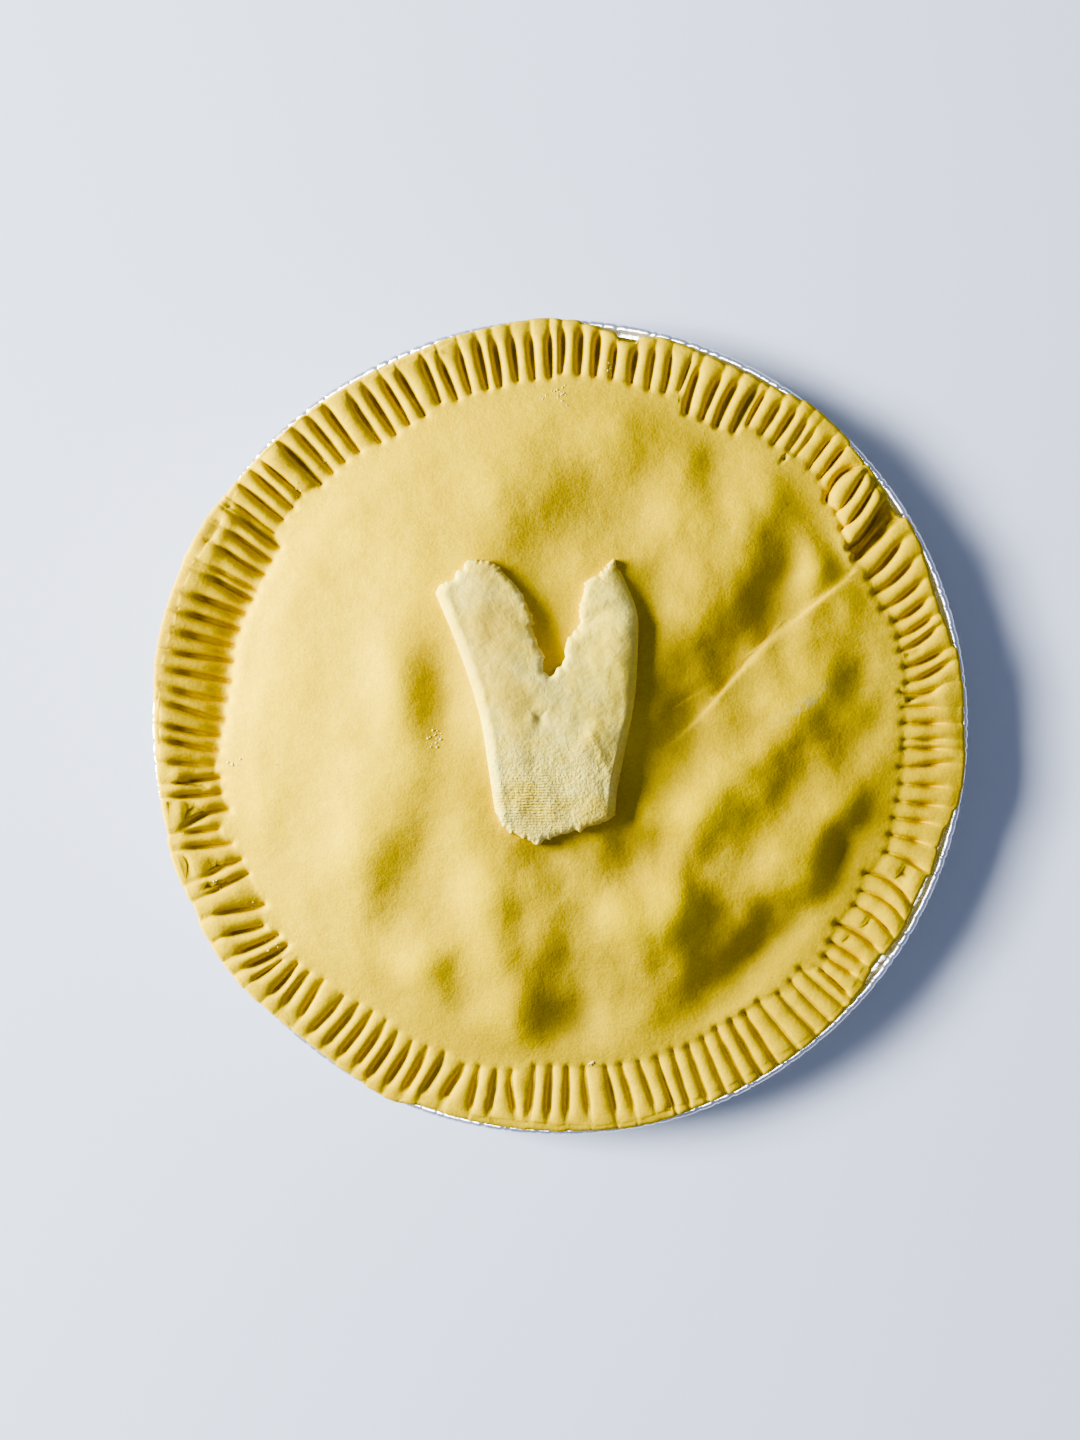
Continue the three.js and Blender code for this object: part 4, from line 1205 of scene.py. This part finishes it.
def build_dish():
    rim_samples = np.arange(DISH_SAMPLES) * 360.0 / DISH_SAMPLES
    slow = pleat_wave(rim_samples, *RIM_WAVES, SEED + 3)
    tucks = foil_tucks(rim_samples, TUCKS, SEED + 2)
    stack = RingStack((0, 0, 0.0))
    for radius, height in dish_profile():
        step = 1 if radius > 112.0 else 4
        angle = rim_samples[::step]
        share = smoothstep(height, 0, FLUTE_BOTTOM) * (1 - smoothstep(height, FLUTE_TOP, 29.4))
        flute = np.cos(FLUTES * np.radians(angle))
        rim = smoothstep(radius, 110.5, 113.5)
        r = radius + FLUTE_DEPTH * flute * share + rim * (0.15 * slow - 0.3 * tucks)[::step]
        z = height + rim * (0.12 * slow - 0.35 * tucks)[::step]
        stack.add(polar(angle, np.minimum(r, DISH_RADIUS + 0.2), z))
    stack.close((0, 0, FOIL))
    return make_object("foil_pie_dish", stack.points, stack.faces)


# ---------------------------------------------------------------- crumbs and flakes

# Where loose bits lie: x, y, spread, how many, smallest and largest size.
CRUMB_PATCHES = [
    (-36.0, -2.9, 1.3, 18, 0.25, 0.7),
    (9.0, -98.2, 0.4, 4, 0.4, 0.9),
    (0.3, 97.4, 1.4, 22, 0.12, 0.6),
    (-4.8, 96.4, 0.7, 6, 0.12, 0.4),
    (14.8, 105.0, 0.7, 6, 0.25, 0.6),
    (-76.8, 69.1, 1.0, 8, 0.2, 0.5),
    (-68.9, 77.9, 0.5, 4, 0.25, 0.6),
    (-95.0, -10.6, 1.4, 7, 0.25, 0.8),
    (-96.0, 19.0, 3.0, 8, 0.12, 0.4),
    (-84.0, -63.0, 1.2, 5, 0.25, 0.7),
    (-100.0, -46.0, 0.8, 4, 0.25, 0.8),
    (-89.0, -56.0, 3.0, 6, 0.15, 0.5),
    (-2.0, 34.0, 5.0, 10, 0.1, 0.22),
    (26.0, 29.0, 6.0, 9, 0.1, 0.22),
    (-31.0, 18.0, 4.0, 9, 0.1, 0.22),
    (68.0, 14.0, 8.0, 12, 0.1, 0.25),
    (0.0, 0.0, 60.0, 120, 0.08, 0.2),
]
CRUMB_LIMIT = 112.0  # no crumb lies further out


def add_bit(mesh, place, size, turn, rng):
    """An uneven, flattened crumb."""
    made = bmesh.ops.create_icosphere(mesh, subdivisions=2, radius=0.5)
    for vert in made["verts"]:
        bump = 1 + 0.8 * noise.noise(vert.co * 3.1 + place)
        vert.co = Vector((vert.co.x * size[0], vert.co.y * size[1], vert.co.z * size[2])) * bump
    spin = Matrix.Rotation(turn, 4, "Z") @ Matrix.Rotation(rng.uniform(-0.3, 0.3), 4, "X")
    bmesh.ops.transform(mesh, matrix=Matrix.Translation(place) @ spin, verts=made["verts"])


def build_bits(pieces):
    """Crumbs and torn bits as one mesh, laid on the pieces under them."""
    rng = np.random.default_rng(SEED + 7)
    graph = bpy.context.evaluated_depsgraph_get()
    grounds = [BVHTree.FromObject(piece, graph) for piece in pieces]

    def top(x, y):
        found = [g.ray_cast(Vector((x * MM, y * MM, 0.1)), Vector((0, 0, -1)))[0] for g in grounds]
        return max(hit.z for hit in found if hit) / MM

    mesh = bmesh.new()
    for x, y, spread, count, low, high in CRUMB_PATCHES:
        for _ in range(count):
            px, py = rng.normal(x, spread), rng.normal(y, spread)
            if math.hypot(px, py) > CRUMB_LIMIT:
                continue
            size = rng.uniform(low, high)
            shape = (size * rng.uniform(0.8, 1.7), size, size * rng.uniform(0.35, 0.7))
            place = Vector((px, py, top(px, py) + 0.2 * shape[2]))
            add_bit(mesh, place, shape, rng.uniform(0, math.pi), rng)
    for vert in mesh.verts:
        vert.co *= MM
    for face in mesh.faces:
        face.smooth = True
    data = bpy.data.meshes.new("dough_bits")
    mesh.to_mesh(data)
    mesh.free()
    return link_object("dough_bits", data)


# ---------------------------------------------------------------- materials


class Shader:
    """A material under construction. Sockets are given by their names, with _ for a space."""

    def __init__(self, name):
        self.material = bpy.data.materials.new(name)
        self.material.use_nodes = True
        self.tree = self.material.node_tree
        self.principled = self.tree.nodes["Principled BSDF"]
        self.place = self.node("TexCoord").outputs["Object"]

    def feed(self, socket, value):
        """Links what another socket says, or sets a number, a vector or a colour."""
        if isinstance(value, bpy.types.NodeSocket):
            self.tree.links.new(value, socket)
        elif socket.type == "RGBA":
            socket.default_value = (*value, 1.0)
        else:
            socket.default_value = value

    def fill(self, node, values):
        for name, value in values.items():
            self.feed(node.inputs[name.replace("_", " ")], value)

    def set(self, **values):
        self.fill(self.principled, values)

    def node(self, kind, **values):
        node = self.tree.nodes.new("ShaderNode" + kind)
        self.fill(node, values)
        return node

    def noise(self, scale, detail, roughness, distortion=0.0):
        shape = {"Scale": scale, "Detail": detail, "Roughness": roughness, "Distortion": distortion}
        return self.node("TexNoise", Vector=self.place, **shape).outputs["Fac"]

    def voronoi(self, scale):
        return self.node("TexVoronoi", Vector=self.place, Scale=scale).outputs["Distance"]

    def wave(self, scale, distortion):
        shape = {"Scale": scale, "Distortion": distortion, "Detail": 2.0}
        node = self.node("TexWave", Vector=self.place, **shape)
        node.bands_direction = "Y"
        return node.outputs["Fac"]

    def attribute(self, name):
        node = self.node("Attribute")
        node.attribute_name = name
        return node.outputs["Fac"]

    def spread(self, source, low, high):
        """A number brought from low..high to 0..1 and kept within it."""
        return self.node("MapRange", Value=source, From_Min=low, From_Max=high).outputs["Result"]

    def times(self, a, b):
        node = self.node("Math")
        node.operation = "MULTIPLY"
        for socket, value in zip(node.inputs, (a, b)):
            self.feed(socket, value)
        return node.outputs["Value"]

    def mix(self, factor, a, b):
        node = self.node("Mix")
        node.data_type = "RGBA"
        colour_sockets = [s for s in node.inputs if s.type == "RGBA"]
        factor_socket = next(s for s in node.inputs if s.type == "VALUE")
        for socket, value in zip([factor_socket, *colour_sockets], (factor, a, b)):
            self.feed(socket, value)
        return next(s for s in node.outputs if s.type == "RGBA")

    def tint(self, base, source, low, high, share, colour):
        """The base with a share of a colour mixed in as the source goes from low to high."""
        strength = self.times(self.spread(source, low, high), share)
        return self.mix(strength, base, colour)

    def bump(self, height, distance, strength, normal=None):
        node = self.node("Bump", Height=height, Distance=distance, Strength=strength)
        if normal is not None:
            self.feed(node.inputs["Normal"], normal)
        return node.outputs["Normal"]


# Colours are linear. Mottling of the pastry: scale, detail and roughness of a noise, its values
# where the colour begins and is full, the colour's share, the colour.
PASTRY_PATCHES = [
    ((120, 3, 0.55), 0.36, 0.66, 0.35, (0.74, 0.55, 0.048)),
    ((420, 3, 0.6), 0.3, 0.72, 0.5, (0.70, 0.51, 0.058)),
    ((1300, 2, 0.6), 0.35, 0.65, 0.45, (0.64, 0.46, 0.052)),
]
# Painted shade in the lid's hollows, painted light on its lumps, and painted shade at two depths of
# the marks, which also darkens the lip, the rim and the creases: attribute, from, to, share,
# colour.
PASTRY_PAINTED_SHADE_AND_LIGHT = [
    ("hollow_shade_and_top_light", 0.4, -4.0, 0.5, (0.42, 0.325, 0.078)),
    ("hollow_shade_and_top_light", 0.0, 4.0, 0.55, (0.98, 0.785, 0.034)),
    ("groove_depth_and_shade", 0.3, 2.2, 0.3, (0.74, 0.55, 0.070)),
    ("groove_depth_and_shade", 1.4, 3.2, 0.4, (0.42, 0.285, 0.058)),
]


def pastry_material():
    shader = Shader("raw_pastry")
    mottle = shader.spread(shader.noise(38, 4, 0.55), 0.35, 0.68)
    base = shader.mix(mottle, (0.83, 0.63, 0.063), (0.90, 0.705, 0.081))
    for grain, *tint in PASTRY_PATCHES:
        base = shader.tint(base, shader.noise(*grain), *tint)
    # Painted shade in hollows, marks, creases and on the lip, and painted light on the lid's lumps.
    for name, *tint in PASTRY_PAINTED_SHADE_AND_LIGHT:
        base = shader.tint(base, shader.attribute(name), *tint)
    # A paler, whitish streak along a line on the lid.
    streak_grain = shader.spread(shader.noise(400, 5, 0.7), 0.42, 0.6)
    pale_streak_share = shader.times(streak_grain, shader.attribute("pale_streak"))
    base = shader.mix(shader.times(pale_streak_share, 0.5), base, (0.84, 0.78, 0.42))
    dots = shader.spread(shader.voronoi(260), 0.06, 0.035)
    rare = shader.spread(shader.noise(90, 1, 0.5), 0.6, 0.64)
    base = shader.mix(shader.times(dots, rare), base, (0.42, 0.25, 0.05))
    rough = shader.spread(shader.noise(60, 3, 0.5), 0.1, 0.95)
    rough = shader.mix(rough, (0.46, 0.46, 0.46), (0.62, 0.62, 0.62))
    normal = shader.bump(shader.noise(1300, 3, 0.6), 0.0002, 0.55)
    normal = shader.bump(shader.noise(260, 5, 0.6), 0.0006, 0.4, normal)
    shader.set(Base_Color=base, Roughness=rough, Normal=normal)
    shader.set(Subsurface_Weight=0.12, Subsurface_Radius=(0.0016, 0.0011, 0.0004))
    shader.set(Subsurface_Scale=1.0, Specular_IOR_Level=0.08)
    return shader.material


def leaf_material():
    shader = Shader("floured_dough")
    flour = shader.spread(shader.noise(75, 5, 0.65), 0.42, 0.66)
    base = shader.mix(flour, (1.0, 0.81, 0.18), (1.0, 0.92, 0.36))
    base = shader.mix(shader.times(shader.attribute("warm"), 0.6), base, (1.0, 0.82, 0.14))
    base = shader.mix(shader.times(shader.attribute("grey"), 0.9), base, (0.60, 0.465, 0.105))
    base = shader.tint(base, shader.noise(170, 6, 0.7, 0.8), 0.45, 0.62, 0.4, (0.86, 0.68, 0.17))
    pebble = shader.spread(shader.noise(900, 2, 0.5), 0.35, 0.62)
    dim = shader.mix(0.16, base, (0.60, 0.44, 0.09))
    base = shader.mix(pebble, dim, base)
    pebbles = shader.times(shader.noise(1100, 2, 0.5), shader.attribute("pebbles"))
    prints = shader.times(shader.wave(380, 3.0), shader.attribute("prints"))
    normal = shader.bump(pebbles, 0.0006, 0.6)
    normal = shader.bump(prints, 0.0004, 0.6, normal)
    normal = shader.bump(shader.noise(320, 6, 0.65, 0.6), 0.0008, 0.45, normal)
    shader.set(Base_Color=base, Normal=normal)
    shader.set(Roughness=0.8, Subsurface_Weight=0.1, Subsurface_Radius=(0.003, 0.002, 0.001))
    shader.set(Subsurface_Scale=1.0, Specular_IOR_Level=0.15)
    return shader.material


def crumb_material():
    shader = Shader("dry_crumbs")
    tone = shader.mix(shader.noise(700, 2, 0.5), (0.84, 0.69, 0.24), (0.92, 0.83, 0.50))
    shader.set(Base_Color=tone, Roughness=0.85, Specular_IOR_Level=0.25)
    return shader.material


def foil_material():
    shader = Shader("creased_foil")
    tone = shader.mix(shader.noise(150, 3, 0.6), (0.62, 0.63, 0.65), (0.84, 0.85, 0.86))
    rough = shader.spread(shader.noise(300, 3, 0.6), 0.0, 2.2)
    normal = shader.bump(shader.noise(220, 4, 0.6, 0.6), 0.0006, 0.5)
    shader.set(Base_Color=tone, Roughness=rough, Normal=normal, Metallic=0.85)
    return shader.material


def floor_material():
    shader = Shader("floor")
    tone = shader.mix(shader.noise(6, 2, 0.5), (0.75, 0.78, 0.70), (0.78, 0.81, 0.73))
    shader.set(Base_Color=tone, Roughness=0.8)
    return shader.material


# ---------------------------------------------------------------- floor, light and camera

CAMERA_HEIGHT = 650.0  # above the dish's rim
FRAME_HEIGHT = 423.5  # the picture's height at the rim
FRAME_CENTRE = (-5.9, 2.1)
SENSOR = 36.0

# The lamps' directions in degrees, their distance and size in metres and their power in watts. Low
# light from a broad window on the left brings out the dough's relief. The floor and the dish also
# have a light from the same side, higher up, so that the pie's shadow on the floor stays short.
PIE_LIGHT = {
    "azimuth": 168.0, "elevation": 24.0, "distance": 0.62, "size": (0.34, 0.25),
    "power": 9.0, "colour": (1.0, 0.98, 0.80),
}  # fmt: skip
FLOOR_LIGHT = {
    "azimuth": 172.0, "elevation": 50.0, "distance": 1.6, "size": (0.55, 0.55),
    "power": 32.5, "colour": (0.97, 1.0, 1.27),
}  # fmt: skip
# Soft light from high up that lights only the dish.
FOIL_LIGHT = {
    "azimuth": 180.0, "elevation": 78.0, "distance": 1.0, "size": (0.7, 0.7),
    "power": 9.0, "colour": (0.94, 0.97, 1.0),
}  # fmt: skip
LIGHT_TARGET = (0, 0, 0.03)
ROOM_LIGHT = 0.21
ROOM_COLOUR = (0.88, 0.98, 1.6)
FLOOR_HALF = 3000.0
FLOOR_TOP = -0.05


def build_floor(material):
    corners = ((-1, -1), (1, -1), (1, 1), (-1, 1))
    points = [(x * FLOOR_HALF, y * FLOOR_HALF, FLOOR_TOP) for x, y in corners]
    floor = make_object("floor", points, [(0, 1, 2, 3)], smooth=False)
    floor.data.materials.append(material)
    return floor


def add_area_light(name, light, lit_pieces):
    """A rectangular lamp that shines at the pie from afar and lights only the given pieces."""
    data = bpy.data.lights.new(name, "AREA")
    data.shape = "RECTANGLE"
    data.size, data.size_y = light["size"]
    data.energy = light["power"]
    data.color = light["colour"]
    lamp = link_object(name, data)
    azimuth, elevation = math.radians(light["azimuth"]), math.radians(light["elevation"])
    level = math.cos(elevation)
    way = Vector((math.cos(azimuth) * level, math.sin(azimuth) * level, math.sin(elevation)))
    lamp.location = Vector(LIGHT_TARGET) + way * light["distance"]
    lamp.rotation_euler = way.to_track_quat("Z", "Y").to_euler()
    receivers = bpy.data.collections.new(name + "_receivers")
    for piece in lit_pieces:
        receivers.objects.link(piece)
    lamp.light_linking.receiver_collection = receivers


def build_room():
    world = bpy.data.worlds.new("room")
    world.use_nodes = True
    background = world.node_tree.nodes["Background"]
    background.inputs["Color"].default_value = (*ROOM_COLOUR, 1)
    background.inputs["Strength"].default_value = ROOM_LIGHT
    bpy.context.scene.world = world


def build_camera():
    data = bpy.data.cameras.new("camera")
    data.sensor_width = SENSOR
    data.lens = SENSOR * CAMERA_HEIGHT / FRAME_HEIGHT
    camera = link_object("camera", data)
    camera.location = Vector((*FRAME_CENTRE, DISH_HEIGHT + CAMERA_HEIGHT)) * MM
    camera.rotation_euler = (0, 0, 0)
    bpy.context.scene.camera = camera


# ---------------------------------------------------------------- the whole


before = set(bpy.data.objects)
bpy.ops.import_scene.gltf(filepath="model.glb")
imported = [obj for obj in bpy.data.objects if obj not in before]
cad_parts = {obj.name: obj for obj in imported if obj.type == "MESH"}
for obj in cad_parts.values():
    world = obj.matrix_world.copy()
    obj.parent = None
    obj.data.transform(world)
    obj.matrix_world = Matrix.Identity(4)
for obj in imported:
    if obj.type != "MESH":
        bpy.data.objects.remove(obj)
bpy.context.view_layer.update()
bpy.context.scene.view_settings.view_transform = "AgX"
bpy.context.scene.view_settings.look = "AgX - Very High Contrast"
build_camera()

pastry = add_piece(build_pastry(), pastry_material(), "pastry_case")
leaf = add_piece(build_leaf(), leaf_material(), "forked_cutout")
bits = add_piece(build_bits([pastry, leaf]), crumb_material())
dish = add_piece(build_dish(), foil_material(), "foil_dish")

floor = build_floor(floor_material())
build_room()
add_area_light("window_on_pie", PIE_LIGHT, [pastry, leaf, bits, dish])
add_area_light("window_on_floor", FLOOR_LIGHT, [floor, dish])
add_area_light("sky_on_foil", FOIL_LIGHT, [dish])
